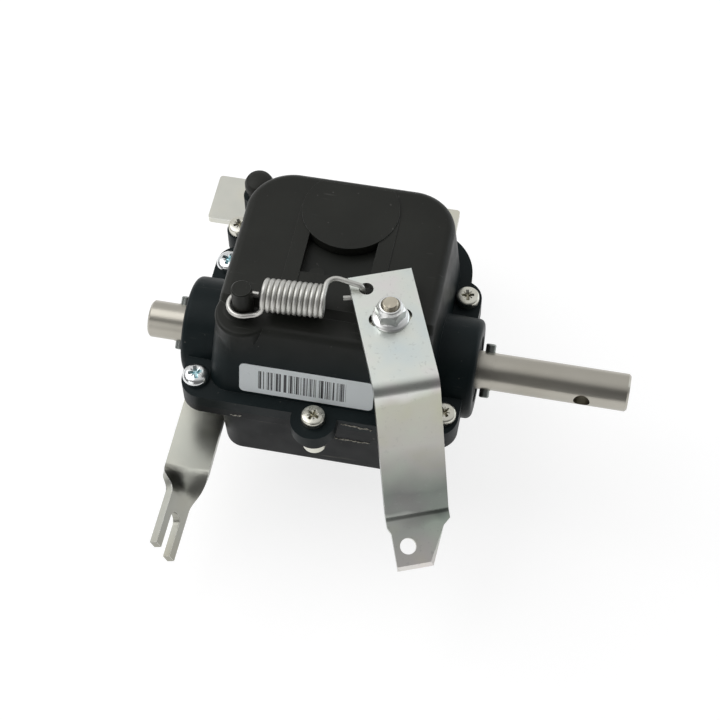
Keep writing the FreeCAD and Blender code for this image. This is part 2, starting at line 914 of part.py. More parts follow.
def wheel_hub():
    body = x_turned([
        (0, -hub_left),
        (hub_track_r + hub_collar, -hub_left),
        (hub_track_r + hub_collar, -wheel_half),
        (hub_seat_r, -wheel_half),
        (hub_seat_r, wheel_half),
        (hub_flange_r, wheel_half),
        (hub_flange_r, wheel_half + hub_flange),
        (0, wheel_half + hub_flange),
    ])
    bore = rod(shaft_r + running_gap, across * (-hub_left - 1), across * (hub_track_end + 1))
    return body.fuse(hub_track(wheel_half, hub_track_end, 0)).cut(bore)


def cup_inner(x):
    # Radius of the female cone at rest, which clears the male cone once the sleeve has travelled.
    return cone_small_r + (x + sleeve_travel - cone_start) * cone_slope + engaged_gap


def clutch_sleeve():
    groove_low = groove_mid - groove_width / 2
    groove_high = groove_mid + groove_width / 2
    cup_end = cup_start + cup_length
    body = x_turned([
        (0, sleeve_left),
        (sleeve_flange_r, sleeve_left),
        (sleeve_flange_r, groove_low),
        (groove_r, groove_low),
        (groove_r, groove_high),
        (sleeve_flange_r, groove_high),
        (sleeve_flange_r, cup_start),
        (cup_r, cup_start),
        (cup_r, cup_end),
        (cup_inner(cup_end) + lining, cup_end),
        (cup_inner(cup_start + cup_web) + lining, cup_start + cup_web),
        (0, cup_start + cup_web),
    ])
    return body.cut(hub_track(sleeve_left - 1, cup_end, sleeve_gap))


def clutch_lining():
    low = cup_start + cup_web + seat_gap
    high = cup_start + cup_length - engaged_gap
    return x_turned([
        (cup_inner(low), low),
        (cup_inner(low) + lining - seat_gap, low),
        (cup_inner(high) + lining - seat_gap, high),
        (cup_inner(high), high),
    ])


def worm_shaft():
    centre = Vec(0, input_y, 0)
    upper_end = upper_bearing_z + upper_width
    lower_top = lower_bearing_z + lower_width
    half = worm_length / 2
    outline = [
        (0, input_end),
        (lower_bore / 2 - shaft_edge, input_end),
        (lower_bore / 2, input_end + shaft_edge),
        (lower_bore / 2, lower_top + seat_gap),
        (input_shoulder_r, lower_top + seat_gap),
        (input_shoulder_r, -half - worm_runout),
        (worm_root_r, -half),
        (worm_root_r, half),
        (input_shoulder_r - 1, half + worm_runout),
        (input_shoulder_r - 1, upper_bearing_z - seat_gap),
        (upper_bore / 2, upper_bearing_z - seat_gap),
        (upper_bore / 2, upper_end - edge_break),
        (upper_bore / 2 - edge_break, upper_end),
        (0, upper_end),
    ]
    core = turned(outline, Vec(0, 0, 0), up)
    flank = math.tan(math.radians(pressure_angle))
    pitch_half = (math.pi * tooth_module / 2 - backlash / 2) / 2
    inner_r = worm_root_r - thread_sink
    inner_half = pitch_half + (worm_pitch_r - inner_r) * flank
    tip_half = pitch_half - tooth_module * flank
    section = Part.makePolygon([
        Vec(inner_r, 0, -inner_half),
        Vec(worm_tip_r, 0, -tip_half),
        Vec(worm_tip_r, 0, tip_half),
        Vec(inner_r, 0, inner_half),
        Vec(inner_r, 0, -inner_half),
    ])
    helix = Part.Wire(Part.makeHelix(worm_lead, worm_length, worm_pitch_r).Edges)
    thread = helix.makePipeShell([section], True, True)
    to_middle = math.degrees(half / worm_lead * 2 * math.pi)
    threads = []
    for start in range(worm_starts):
        copy = thread.copy()
        copy.rotate(Vec(0, 0, 0), up, -90 - to_middle + 360 * start / worm_starts)
        copy.translate(up * -half)
        threads.append(copy)
    solid = core.fuse(threads)
    thread_end = half + 0.75 * worm_runout
    trim = rod(worm_tip_r + 1, up * -thread_end, up * thread_end)
    journals = rod(worm_root_r, up * input_end, up * upper_end)
    solid = solid.common(trim.fuse(journals))
    seat_r = lower_bore / 2
    keyway = box(Vec(-key_width / 2, -lower_bore, 0), Vec(key_width / 2, key_stand - seat_r, key_length))
    keyway.translate(up * key_low)
    clip_low = up * pulley_clip_low
    clip = ring(lower_bore, seat_r - clip_bite, clip_low, clip_low + up * clip_width)
    solid = solid.cut([keyway, clip])
    solid.translate(centre)
    return solid


def pulley_key():
    foot = Vec(-key_width / 2 + seat_gap, input_y - lower_bore / 2 - key_stand, key_low + seat_gap)
    size = Vec(key_width - 2 * seat_gap, 2 * key_stand - seat_gap, key_length - 2 * seat_gap)
    return box(foot, foot + size)


def pulley_clip():
    inner = lower_bore / 2 - clip_bite + seat_gap
    base = Vec(0, input_y, pulley_clip_low + seat_gap)
    body = ring(inner + clip_wall, inner, base, base + up * (clip_width - 2 * seat_gap))
    mouth = Vec(clip_mouth / 2, lower_bore, clip_width + 1)
    return body.cut(box(base - Vec(clip_mouth / 2, 0, 1), base + mouth))


def ball_size(bore, outer):
    # Ball radius and the radius of the circle on which the ball centres lie.
    return (outer - bore) / 4 * ball_share, (outer + bore) / 4


def bearing_race(bore, outer, width, low, inside):
    ball_r, pitch_r = ball_size(bore, outer)
    land = ball_r * race_land
    start = Vec(0, input_y, low)
    end = start + up * width
    groove = Part.makeTorus(pitch_r, ball_r + running_gap, start + up * (width / 2), up)
    if inside:
        return ring(pitch_r - land, bore / 2 + press_gap, start, end).cut(groove)
    return ring(outer / 2, pitch_r + land, start, end).cut(groove)


def bearing_balls(bore, outer, width, low):
    ball_r, pitch_r = ball_size(bore, outer)
    balls = []
    for index in range(ball_count):
        angle = 2 * math.pi * index / ball_count
        at = Vec(pitch_r * math.cos(angle), input_y + pitch_r * math.sin(angle), low + width / 2)
        balls.append(Part.makeSphere(ball_r, at))
    return Part.makeCompound(balls)


def input_seal():
    low = input_boss_end + seal_recess
    outline = lip_seal(input_seal_r, lower_bore / 2, low + input_seal_width, low)
    return turned(outline, Vec(0, input_y, 0), up)


def lever_spindle():
    at = Vec(lever_x, lever_y, 0)
    outline = [
        (0, spindle_low_end),
        (spindle_low_d / 2 - edge_break, spindle_low_end),
        (spindle_low_d / 2, spindle_low_end + edge_break),
        (spindle_low_d / 2, spindle_step_z),
        (spindle_d / 2, spindle_step_z + 1),
        (spindle_d / 2, lever_top - stud_shoulder),
        (stud_d / 2, lever_top - stud_shoulder),
        (stud_d / 2, stud_end - stud_chamfer),
        (stud_d / 2 - stud_chamfer, stud_end),
        (0, stud_end),
    ]
    spindle = turned(outline, at, up)
    tongue = rod(spindle_d, at + up * lever_low, at + up * lever_top)
    keep = lever_bar(spindle_d, lever_slot_width - 2 * running_gap, lever_low - 1, lever_top)
    spindle = spindle.cut(tongue.cut(keep))
    return spindle.cut(finger_rod(finger_d / 2 + press_gap))


def lever_way():
    turn = math.radians(lever_turn)
    return Vec(math.sin(turn), -math.cos(turn), 0)


def lever_side():
    turn = math.radians(lever_turn)
    return Vec(math.cos(turn), math.sin(turn), 0)


def lever_point(ahead, side, z):
    return Vec(lever_x, lever_y, z) + lever_way() * ahead + lever_side() * side


def lever_bar(half_side, width, low, high):
    # A block lying across the lever, centred on the spindle.
    corners = []
    for ahead, side in ((-1, -1), (1, -1), (1, 1), (-1, 1)):
        corners.append(lever_point(ahead * width / 2, side * half_side, low))
    return Part.Face(Part.makePolygon(corners + corners[:1])).extrude(up * (high - low))


def finger_rod(radius):
    way = Vec(-math.sin(finger_tilt), math.cos(finger_tilt), 0)
    at = Vec(lever_x, lever_y, 0)
    return rod(radius, at - way * (spindle_low_d / 2), at + way * finger_reach)


def lever_profile():
    # Centre line of the bent strip as ahead-height pairs: flat, drop, tab.
    drop = math.radians(lever_drop_angle)
    dip = math.radians(tab_angle)
    middle = lever_top - lever_t / 2
    bend = (lever_front, middle)
    low = (bend[0] + lever_drop * math.cos(drop), bend[1] - lever_drop * math.sin(drop))
    end = (low[0] + tab_length * math.cos(dip), low[1] - tab_length * math.sin(dip))
    return [(-lever_tail, middle), bend, low, end]


def strip_wire(line, thickness, radius):
    # Both faces of a bent strip, with the inner and outer bend radii.
    ways = []
    for first, last in zip(line, line[1:]):
        length = math.hypot(last[0] - first[0], last[1] - first[1])
        ways.append(((last[0] - first[0]) / length, (last[1] - first[1]) / length))
    near = []
    far = []
    half = thickness / 2
    for index, (ahead, height) in enumerate(line):
        before = ways[max(index - 1, 0)]
        after = ways[min(index, len(ways) - 1)]
        normal = (-(before[1] + after[1]) / 2, (before[0] + after[0]) / 2)
        scale = half / (normal[0] ** 2 + normal[1] ** 2)
        bend = 0
        turn = before[0] * after[1] - before[1] * after[0]
        if abs(turn) > 0.01:
            bend = radius if turn < 0 else -radius
        outer = abs(bend) + thickness if bend > 0 else abs(bend)
        inner = abs(bend) if bend > 0 else abs(bend) + thickness
        off_ahead = normal[0] * scale
        off_height = normal[1] * scale
        near.append((lever_point(ahead + off_ahead, 0, height + off_height), outer if bend else 0))
        far.append((lever_point(ahead - off_ahead, 0, height - off_height), inner if bend else 0))
    return rounded_wire(near + far[::-1])


def clutch_lever():
    line = lever_profile()
    half = lever_width / 2
    wire = strip_wire(line, lever_t, bend_r)
    strip = Part.Face(wire).extrude(lever_side() * lever_width)
    strip.translate(lever_side() * -half)
    low = line[2]
    end = line[3]
    dip = math.radians(tab_angle)
    along = lever_way() * math.cos(dip) - up * math.sin(dip)
    square = lever_way() * math.sin(dip) + up * math.cos(dip)
    bend_mid = lever_point(low[0], 0, low[1])
    tip_mid = lever_point(end[0], 0, end[1])
    taper_from = bend_mid + along * (bend_r + 1)
    taper_root = taper_from + along * tab_shoulder
    for side in (-1, 1):
        tip_edge = tip_mid + lever_side() * (tab_end_shift + side * tab_end_width / 2) + along
        root_edge = taper_root + lever_side() * (tab_root_shift + side * tab_root_width / 2)
        bend_edge = taper_from + lever_side() * (side * half)
        outside = lever_side() * (side * lever_width)
        corners = [bend_edge, root_edge, tip_edge, tip_edge + outside, bend_edge + outside]
        wedge = Part.Face(Part.makePolygon(corners + corners[:1])).extrude(square * (6 * lever_t))
        wedge.translate(square * (-3 * lever_t))
        strip = strip.cut(wedge)
    cable = bend_mid + along * cable_hole_from_bend + lever_side() * cable_hole_side
    through = 2 * lever_t
    holes = [rod(cable_hole_d / 2, cable - square * through, cable + square * through)]
    spring = spring_hole()
    holes.append(rod(spring_hole_d / 2, spring - up * through, spring + up * through))
    straight = (lever_slot_length - lever_slot_width) / 2
    holes.append(lever_bar(straight, lever_slot_width, lever_low - 1, lever_top + 1))
    for side in (-1, 1):
        at = lever_point(0, side * straight, lever_low - 1)
        holes.append(rod(lever_slot_width / 2, at, at + up * (lever_t + 2)))
    return strip.cut(holes)


def spring_hole():
    return lever_point(-lever_tail + spring_hole_from_tail, spring_hole_side, lever_top - lever_t / 2)


def flange_nut():
    at = Vec(lever_x, lever_y, lever_top)
    reach = nut_hex / math.sqrt(3)
    corners = [Vec(reach * math.cos(math.pi / 3 * k), reach * math.sin(math.pi / 3 * k), 0) for k in range(7)]
    hexagon = Part.Face(Part.makePolygon(corners)).extrude(up * nut_h)
    crown = turned([
        (0, 0),
        (nut_flange_d / 2, 0),
        (nut_flange_d / 2, nut_rim),
        (nut_hex / 2 + nut_blend, nut_flange_h + nut_blend),
        (reach, nut_flange_h + nut_rim),
        (reach, nut_h - nut_chamfer),
        (nut_hex / 2 - nut_chamfer / 3, nut_h),
        (0, nut_h),
    ], Vec(0, 0, 0), up)
    skirt = turned([
        (0, 0),
        (nut_flange_d / 2, 0),
        (nut_flange_d / 2, nut_rim),
        (nut_hex / 2 - nut_blend / 2, nut_flange_h + nut_rim),
        (0, nut_flange_h + nut_rim),
    ], Vec(0, 0, 0), up)
    nut = hexagon.common(crown).fuse(skirt).cut(rod(stud_d / 2 + running_gap, up * -1, up * (nut_h + 1)))
    nut.rotate(Vec(0, 0, 0), up, nut_turn)
    nut.translate(at)
    return nut


def spindle_bush():
    at = Vec(lever_x, lever_y, 0)
    inner = spindle_d / 2 + running_gap
    return ring(inner + spindle_bush_wall, inner, at + up * spindle_bush_low,
                at + up * (spindle_boss_top - o_ring_room - seat_gap))


def o_ring():
    middle = spindle_boss_top - o_ring_room / 2
    at = Vec(lever_x, lever_y, middle)
    wire_r = o_ring_d / 2 - running_gap
    return Part.makeTorus(spindle_d / 2 + o_ring_d / 2, wire_r, at, up)


def lever_spacer():
    at = Vec(lever_x, lever_y, 0)
    foot = at + up * (spindle_boss_top + 2 * seat_gap)
    return ring(spacer_r, spindle_d / 2 + press_gap, foot, at + up * lever_low)


def bracket_section(ahead, angle, width, thickness):
    # Cross-section of the strip, square to its run and twisted about its middle line.
    share = max(ahead, 0) / (twist_length + fork_length)
    middle_x = (arm_left + arm_right) / 2 - fork_sway * share
    middle_z = bracket_top - bracket_t / 2 - fork_fall * share
    centre = Vec(middle_x, arm_front - ahead, middle_z)
    turn = math.radians(angle)
    wide = Vec(math.cos(turn), 0, -math.sin(turn)) * (width / 2)
    thick = Vec(math.sin(turn), 0, math.cos(turn)) * (thickness / 2)
    corners = [centre - wide - thick, centre + wide - thick, centre + wide + thick, centre - wide + thick]
    return Part.makePolygon(corners + corners[:1])


def torque_bracket():
    # A flat crossbar and arm; the arm's front end is twisted into an upright fork.
    low = bracket_top - bracket_t
    bar = rounded_wire([
        (Vec(bar_left, bar_front, low), bar_corner),
        (Vec(bar_right, bar_front, low), bar_corner),
        (Vec(bar_right, bar_rear, low), bar_corner),
        (Vec(bar_left, bar_rear, low), bar_corner),
    ])
    arm = box(Vec(arm_left, arm_front, low), Vec(arm_right, bar_rear - bar_corner, bracket_top))
    twist = []
    for step in range(twist_steps + 1):
        share = step / twist_steps
        smooth = share * share * (3 - 2 * share)
        width = arm_width + (fork_width - arm_width) * smooth
        twist.append(bracket_section(share * twist_length, twist_angle * smooth, width, bracket_t))
    fork_end = twist_length + fork_length
    tip = bracket_section(fork_end, twist_angle, fork_width, bracket_t)
    fork = Part.makeLoft([twist[-1], tip], True, True)
    slot_from = fork_end - fork_slot_length + fork_slot / 2
    slot_root = bracket_section(slot_from, twist_angle, fork_slot, 3 * bracket_t)
    slot_mouth = bracket_section(fork_end + fork_slot, twist_angle, fork_slot, 3 * bracket_t)
    turn = math.radians(twist_angle)
    thick = Vec(math.sin(turn), 0, math.cos(turn)) * bracket_t
    root = slot_root.BoundBox.Center
    slot = Part.makeLoft([slot_root, slot_mouth], True, True)
    fork = fork.cut(slot).cut(rod(fork_slot / 2, root - thick, root + thick))
    bracket = plate(bar, bracket_t).fuse(arm).fuse([Part.makeLoft(twist, True, False), fork]).removeSplitter()
    middle = (arm_left + arm_right) / 2
    holes = []
    for side in (-1, 1):
        at = Vec(middle, side * bracket_screw_y, low - 1)
        holes.append(rod(bracket_screw_d / 2 + screw_hole_gap, at, at + up * (bracket_t + 2)))
        hole = Vec(bar_hole_x - (1 - side) / 2 * bar_hole_span, (bar_front + bar_rear) / 2, low - 1)
        holes.append(rod(bar_hole_d / 2, hole, hole + up * (bracket_t + 2)))
    return bracket.cut(holes)


def bracket_screws():
    middle = (arm_left + arm_right) / 2
    low = bracket_top - bracket_t
    return Part.makeCompound([
        pan_screw(middle, side * bracket_screw_y, low, bracket_t + bracket_screw_bite - 1, bracket_screw_d,
                  bracket_screw_head_d, bracket_screw_head_h, up * -1)
        for side in (-1, 1)
    ])


def wire_run(points):
    # Straight runs of spring wire joined by tangent arcs.
    edges = []
    start = points[0][0]
    for index in range(1, len(points) - 1):
        before = points[index - 1][0]
        point, radius = points[index]
        after = points[index + 1][0]
        to_before = before.sub(point).normalize()
        to_after = after.sub(point).normalize()
        half = to_before.getAngle(to_after) / 2
        reach = radius / math.tan(half)
        middle = to_before.add(to_after).normalize() * (radius / math.sin(half) - radius)
        first = point + to_before * reach
        last = point + to_after * reach
        if start.distanceToPoint(first) > 1e-6:
            edges.append(Part.LineSegment(start, first).toShape())
        edges.append(Part.Arc(first, point + middle, last).toShape())
        start = last
    edges.append(Part.LineSegment(start, points[-1][0]).toShape())
    return Part.Wire(edges)


def wire_solid(path, frenet):
    start = path.Edges[0]
    point = start.valueAt(start.FirstParameter)
    way = start.tangentAt(start.FirstParameter)
    section = Part.Wire(Part.Circle(point, way, wire_d / 2).toShape())
    return path.makePipeShell([section], True, frenet)


def coil_path():
    # The close-wound left-hand coil lies beside the post, nearly along X.
    # It starts at its front and ends on top.
    turn = math.radians(coil_skew)
    axis = Vec(math.cos(turn), math.sin(turn), 0)
    pitch = wire_d + coil_pitch_gap
    length = coil_turns * pitch
    beside = post_d / 2 + loop_gap + wire_d + coil_clear
    base = Vec(post_x + beside, post_y + coil_behind_post, pad_z + coil_lift)
    helix = Part.Wire(Part.makeHelix(pitch, length, coil_r, 0, True).Edges)
    return placed(helix, base, axis).rotate(base, axis, coil_start)


def loop_path(start, way):
    # From the coil's front the wire drops to the pad, runs round the post and ends behind it.
    loop_r = post_d / 2 + loop_gap + wire_d / 2
    centre = Vec(post_x, post_y, pad_z + loop_lift)
    corner = start + way * ((centre.z - start.z) / way.z)
    spread = math.acos(loop_r / corner.distanceToPoint(centre))
    angle = math.atan2(corner.y - centre.y, corner.x - centre.x) - spread
    rear = -1.5 * math.pi

    def beside_post(turn):
        return centre + Vec(math.cos(turn), math.sin(turn), 0) * loop_r

    touch = beside_post(angle)
    behind = beside_post(rear)
    edges = wire_run([(start, 0), (corner, loop_bend), (touch, 0)]).Edges
    edges.append(Part.Arc(touch, beside_post((angle + rear) / 2), behind).toShape())
    edges.append(Part.LineSegment(behind, behind + across * loop_tail).toShape())
    return Part.Wire(edges)


def hook_path(start, way):
    # From the coil's top the wire swings to the lever, goes down through its hole and turns back beneath it.
    hole = spring_hole()
    pull = Vec(start.x - hole.x, start.y - hole.y, 0).normalize() * hook_pull
    over = Vec(hole.x + pull.x, hole.y + pull.y, lever_top + hook_rise)
    under = Vec(over.x, over.y, lever_low - hook_under)
    return wire_run([
        (start, 0),
        (start + way * hook_back, hook_bend),
        (over, wire_d),
        (under, wire_d),
        (under - Vec(hook_tip, hook_lean, 0), 0),
    ])


def return_spring():
    coil = coil_path()
    first = coil.Edges[0]
    last = coil.Edges[-1]
    loop = loop_path(first.valueAt(first.FirstParameter), first.tangentAt(first.FirstParameter) * -1)
    hook = hook_path(last.valueAt(last.LastParameter), last.tangentAt(last.LastParameter))
    spring = wire_solid(coil, True).fuse([wire_solid(loop, False), wire_solid(hook, False)])
    return spring.removeSplitter()


def export(name, shape):
    if not shape.isValid():
        print("not valid:", name)
    shape.exportStep("parts/" + name + ".step")
    print(name, len(shape.Solids), "solids", round(shape.Volume, 1), "mm3")


def main():
    os.makedirs("parts", exist_ok=True)
    export("upper_housing", upper_housing())
    export("lower_housing", lower_housing())
    export("label", label())
    export("flange_screws", flange_screws())
    export("front_nut", front_nut())
    export("breather_cap", breather_cap())
    export("left_bush", shaft_bush(-1))
    export("right_bush", shaft_bush(1))
    export("left_seal", shaft_seal(-1))
    export("right_seal", shaft_seal(1))
    export("output_shaft", output_shaft())
    export("roll_pins", roll_pins())
    export("shaft_clips", shaft_clips())
    export("shaft_washers", shaft_washers())
    export("driven_cone", driven_cone())
    export("cone_pin", cone_pin())
    export("worm_wheel", worm_wheel())
    export("wheel_hub", wheel_hub())
    export("clutch_sleeve", clutch_sleeve())
    export("clutch_lining", clutch_lining())
    export("worm_shaft", worm_shaft())
    export("pulley_key", pulley_key())
    export("pulley_clip", pulley_clip())
    for name, bearing in (
        ("upper", (upper_bore, upper_od, upper_width, upper_bearing_z)),
        ("lower", (lower_bore, lower_od, lower_width, lower_bearing_z)),
    ):
        export(name + "_bearing_inner_race", bearing_race(*bearing, True))
        export(name + "_bearing_outer_race", bearing_race(*bearing, False))
        export(name + "_bearing_balls", bearing_balls(*bearing))
    export("input_seal", input_seal())
    export("lever_spindle", lever_spindle())
    export("shift_finger", finger_rod(finger_d / 2))
    export("clutch_lever", clutch_lever())
    export("flange_nut", flange_nut())
    export("spindle_bush", spindle_bush())
    export("spindle_o_ring", o_ring())
    export("lever_spacer", lever_spacer())
    export("return_spring", return_spring())
    export("torque_bracket", torque_bracket())
    export("bracket_screws", bracket_screws())


main()
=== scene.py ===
import bpy
import bmesh
import json
import math
import random
from mathutils import Matrix, Vector


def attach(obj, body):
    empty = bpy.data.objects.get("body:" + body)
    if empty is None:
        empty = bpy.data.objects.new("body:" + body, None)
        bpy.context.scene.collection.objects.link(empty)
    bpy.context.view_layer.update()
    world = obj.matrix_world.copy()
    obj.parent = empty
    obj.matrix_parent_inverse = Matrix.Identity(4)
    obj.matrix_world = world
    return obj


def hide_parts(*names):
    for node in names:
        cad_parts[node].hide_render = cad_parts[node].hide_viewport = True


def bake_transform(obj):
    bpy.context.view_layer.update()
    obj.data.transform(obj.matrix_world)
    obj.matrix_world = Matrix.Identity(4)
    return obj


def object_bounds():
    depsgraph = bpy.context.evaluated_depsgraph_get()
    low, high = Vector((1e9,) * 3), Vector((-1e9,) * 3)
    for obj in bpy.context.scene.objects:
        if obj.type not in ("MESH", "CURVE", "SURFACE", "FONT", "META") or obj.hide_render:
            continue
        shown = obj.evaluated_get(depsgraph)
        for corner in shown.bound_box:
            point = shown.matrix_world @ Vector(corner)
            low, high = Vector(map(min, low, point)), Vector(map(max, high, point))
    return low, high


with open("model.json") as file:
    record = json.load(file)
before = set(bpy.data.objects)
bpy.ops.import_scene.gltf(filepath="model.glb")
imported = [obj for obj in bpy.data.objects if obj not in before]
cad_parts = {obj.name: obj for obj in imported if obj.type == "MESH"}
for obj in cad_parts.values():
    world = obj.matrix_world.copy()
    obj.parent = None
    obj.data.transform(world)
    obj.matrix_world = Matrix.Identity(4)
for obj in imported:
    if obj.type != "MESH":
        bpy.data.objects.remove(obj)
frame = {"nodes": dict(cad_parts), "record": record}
cadBox = [list(corner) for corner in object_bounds()]
scene = bpy.context.scene
nodes = frame["nodes"]
bodies = frame["record"]["behaviour"]["bodies"]
bodyOf = {node: body for body, names in bodies.items() for node in names}
slotOf = {part["node"]: part["material_slot"] for part in frame["record"]["subparts"]}
mm = 0.001
print("frame loaded:", len(nodes), "nodes")


# materials

def startMaterial(name):
    mat = bpy.data.materials.new(name)
    mat.use_nodes = True
    tree = mat.node_tree
    coord = tree.nodes.new("ShaderNodeTexCoord")
    return mat, tree, tree.nodes["Principled BSDF"], coord.outputs["Object"]


def feed(tree, value, socket):
    # a socket takes a number, a colour or another node's output
    if isinstance(value, (int, float)):
        socket.default_value = value
    elif isinstance(value, tuple):
        socket.default_value = (*value, 1)
    else:
        tree.links.new(value, socket)


def axes(tree, coord):
    node = tree.nodes.new("ShaderNodeSeparateXYZ")
    tree.links.new(coord, node.inputs[0])
    return node.outputs


def mapped(tree, coord, scale, turn=(0, 0, 0)):
    node = tree.nodes.new("ShaderNodeMapping")
    node.inputs["Scale"].default_value = scale
    node.inputs["Rotation"].default_value = [math.radians(angle) for angle in turn]
    tree.links.new(coord, node.inputs["Vector"])
    return node.outputs["Vector"]


def noise(tree, coord, scale, detail=3.0, rough=0.5):
    node = tree.nodes.new("ShaderNodeTexNoise")
    node.inputs["Scale"].default_value = scale
    node.inputs["Detail"].default_value = detail
    node.inputs["Roughness"].default_value = rough
    tree.links.new(coord, node.inputs["Vector"])
    return node.outputs["Fac"]


def ramp(tree, fac, stops):
    node = tree.nodes.new("ShaderNodeValToRGB")
    points = node.color_ramp.elements
    while len(points) < len(stops):
        points.new(0.5)
    for point, (place, colour) in zip(points, stops):
        point.position = place
        point.color = (*colour, 1)
    tree.links.new(fac, node.inputs["Fac"])
    return node.outputs["Color"]


def span(tree, fac, low, high, fromLow=0.3, fromHigh=0.7):
    node = tree.nodes.new("ShaderNodeMapRange")
    node.inputs["From Min"].default_value = fromLow
    node.inputs["From Max"].default_value = fromHigh
    node.inputs["To Min"].default_value = low
    node.inputs["To Max"].default_value = high
    tree.links.new(fac, node.inputs["Value"])
    return node.outputs["Result"]


def mixColour(tree, fac, first, second, blend="MIX"):
    node = tree.nodes.new("ShaderNodeMix")
    node.data_type = "RGBA"
    node.blend_type = blend
    feed(tree, fac, node.inputs["Factor"])
    feed(tree, first, node.inputs[6])  # the colour sockets are 6 and 7, and 2 on the way out
    feed(tree, second, node.inputs[7])
    return node.outputs[2]


def combine(tree, first, second, action="MULTIPLY"):
    node = tree.nodes.new("ShaderNodeMath")
    node.operation = action
    feed(tree, first, node.inputs[0])
    feed(tree, second, node.inputs[1])
    return node.outputs[0]


def coat(tree, shader, colour, wear, rough):
    tree.links.new(colour, shader.inputs["Base Color"])
    tree.links.new(span(tree, wear, *rough), shader.inputs["Roughness"])


def bumped(tree, shader, height, strength, distance):
    node = tree.nodes.new("ShaderNodeBump")
    node.inputs["Strength"].default_value = strength
    node.inputs["Distance"].default_value = distance
    tree.links.new(height, node.inputs["Height"])
    tree.links.new(node.outputs["Normal"], shader.inputs["Normal"])


# moulded plastic: low and high are its colours at the two heights of turn, in metres; on the upper housing
# the darker teal low tone is painted shade and the lighter high tone is painted light
plasticLooks = {
    "upperPlastic": {
        "low": (0.0088, 0.0150, 0.0165), "high": (0.0188, 0.0198, 0.0165), "turn": (0.020, 0.0385),
        "rough": (0.36, 0.50), "scuff": (0.095, 0.095, 0.088), "scuffShare": 0.5, "gloss": (0.12, 0.20)},
    # lighter finish for the upper housing's eased edges: painted highlight, lightest at the top, with some
    # wear
    "upperEdgeWearAndHighlight": {
        "low": (0.0420, 0.0480, 0.0470), "high": (0.1050, 0.1090, 0.1040), "turn": (0.020, 0.0385),
        "rough": (0.34, 0.46), "scuff": (0.10, 0.10, 0.095), "scuffShare": 0.35, "gloss": (0.24, 0.30)},
    "lowerPlastic": {
        "low": (0.0075, 0.0090, 0.0102), "high": (0.0075, 0.0090, 0.0102), "turn": (-0.03, 0),
        "rough": (0.40, 0.55), "scuff": (0.15, 0.145, 0.125), "scuffShare": 0.45, "gloss": (0.16, 0.16)},
    # lighter finish for the lower housing's eased edges: painted highlight with some wear
    "lowerEdgeWearAndHighlight": {
        "low": (0.0300, 0.0310, 0.0300), "high": (0.0300, 0.0310, 0.0300), "turn": (-0.03, 0),
        "rough": (0.38, 0.50), "scuff": (0.18, 0.17, 0.145), "scuffShare": 0.6, "gloss": (0.30, 0.30)},
    "capPlastic": {
        "low": (0.0230, 0.0238, 0.0200), "high": (0.0230, 0.0238, 0.0200), "turn": (0, 0.03),
        "rough": (0.45, 0.60), "scuff": (0.08, 0.08, 0.07), "scuffShare": 0.25, "gloss": (0.20, 0.20)},
}
# noises as (scale, detail), bands as the noise values between which a mark fades in
plasticGrain = {
    "cloud": (38, 4), "cloudTones": [(0.34, (0.72, 0.72, 0.72)), (0.66, (1, 1, 1))],
    "streakStretch": (40, 900, 300), "streakTurn": (0, 0, 24), "streak": (1.0, 2), "streakBand": (0.66, 0.74),
    "patch": (60, 2), "patchBand": (0.52, 0.66), "speck": (520, 1), "speckBand": (0.76, 0.80),
    "wear": (90, 3), "grain": (2600, 2), "bump": 0.10, "bumpDepth": 0.0002,
}


def plasticMaterial(name, look, grain=plasticGrain):
    mat, tree, shader, coord = startMaterial(name)
    # painted light and shade: the colour runs from the low tone to the high tone with height
    heightShade = span(tree, axes(tree, coord)["Z"], 0, 1, *look["turn"])
    cloud = ramp(tree, noise(tree, coord, *grain["cloud"]), grain["cloudTones"])
    base = mixColour(tree, 1.0, mixColour(tree, heightShade, look["low"], look["high"]), cloud, "MULTIPLY")
    stretched = mapped(tree, coord, grain["streakStretch"], grain["streakTurn"])
    streaks = span(tree, noise(tree, stretched, *grain["streak"]), 0, 1, *grain["streakBand"])
    patches = span(tree, noise(tree, coord, *grain["patch"]), 0, 1, *grain["patchBand"])
    specks = span(tree, noise(tree, coord, *grain["speck"]), 0, 1, *grain["speckBand"])
    marks = combine(tree, combine(tree, streaks, patches), specks, "MAXIMUM")
    colour = mixColour(tree, combine(tree, marks, look["scuffShare"]), base, look["scuff"])
    coat(tree, shader, colour, noise(tree, coord, *grain["wear"]), look["rough"])
    bumped(tree, shader, noise(tree, coord, *grain["grain"]), grain["bump"], grain["bumpDepth"])
    tree.links.new(span(tree, heightShade, *look["gloss"], 0, 1), shader.inputs["Specular IOR Level"])
    return mat
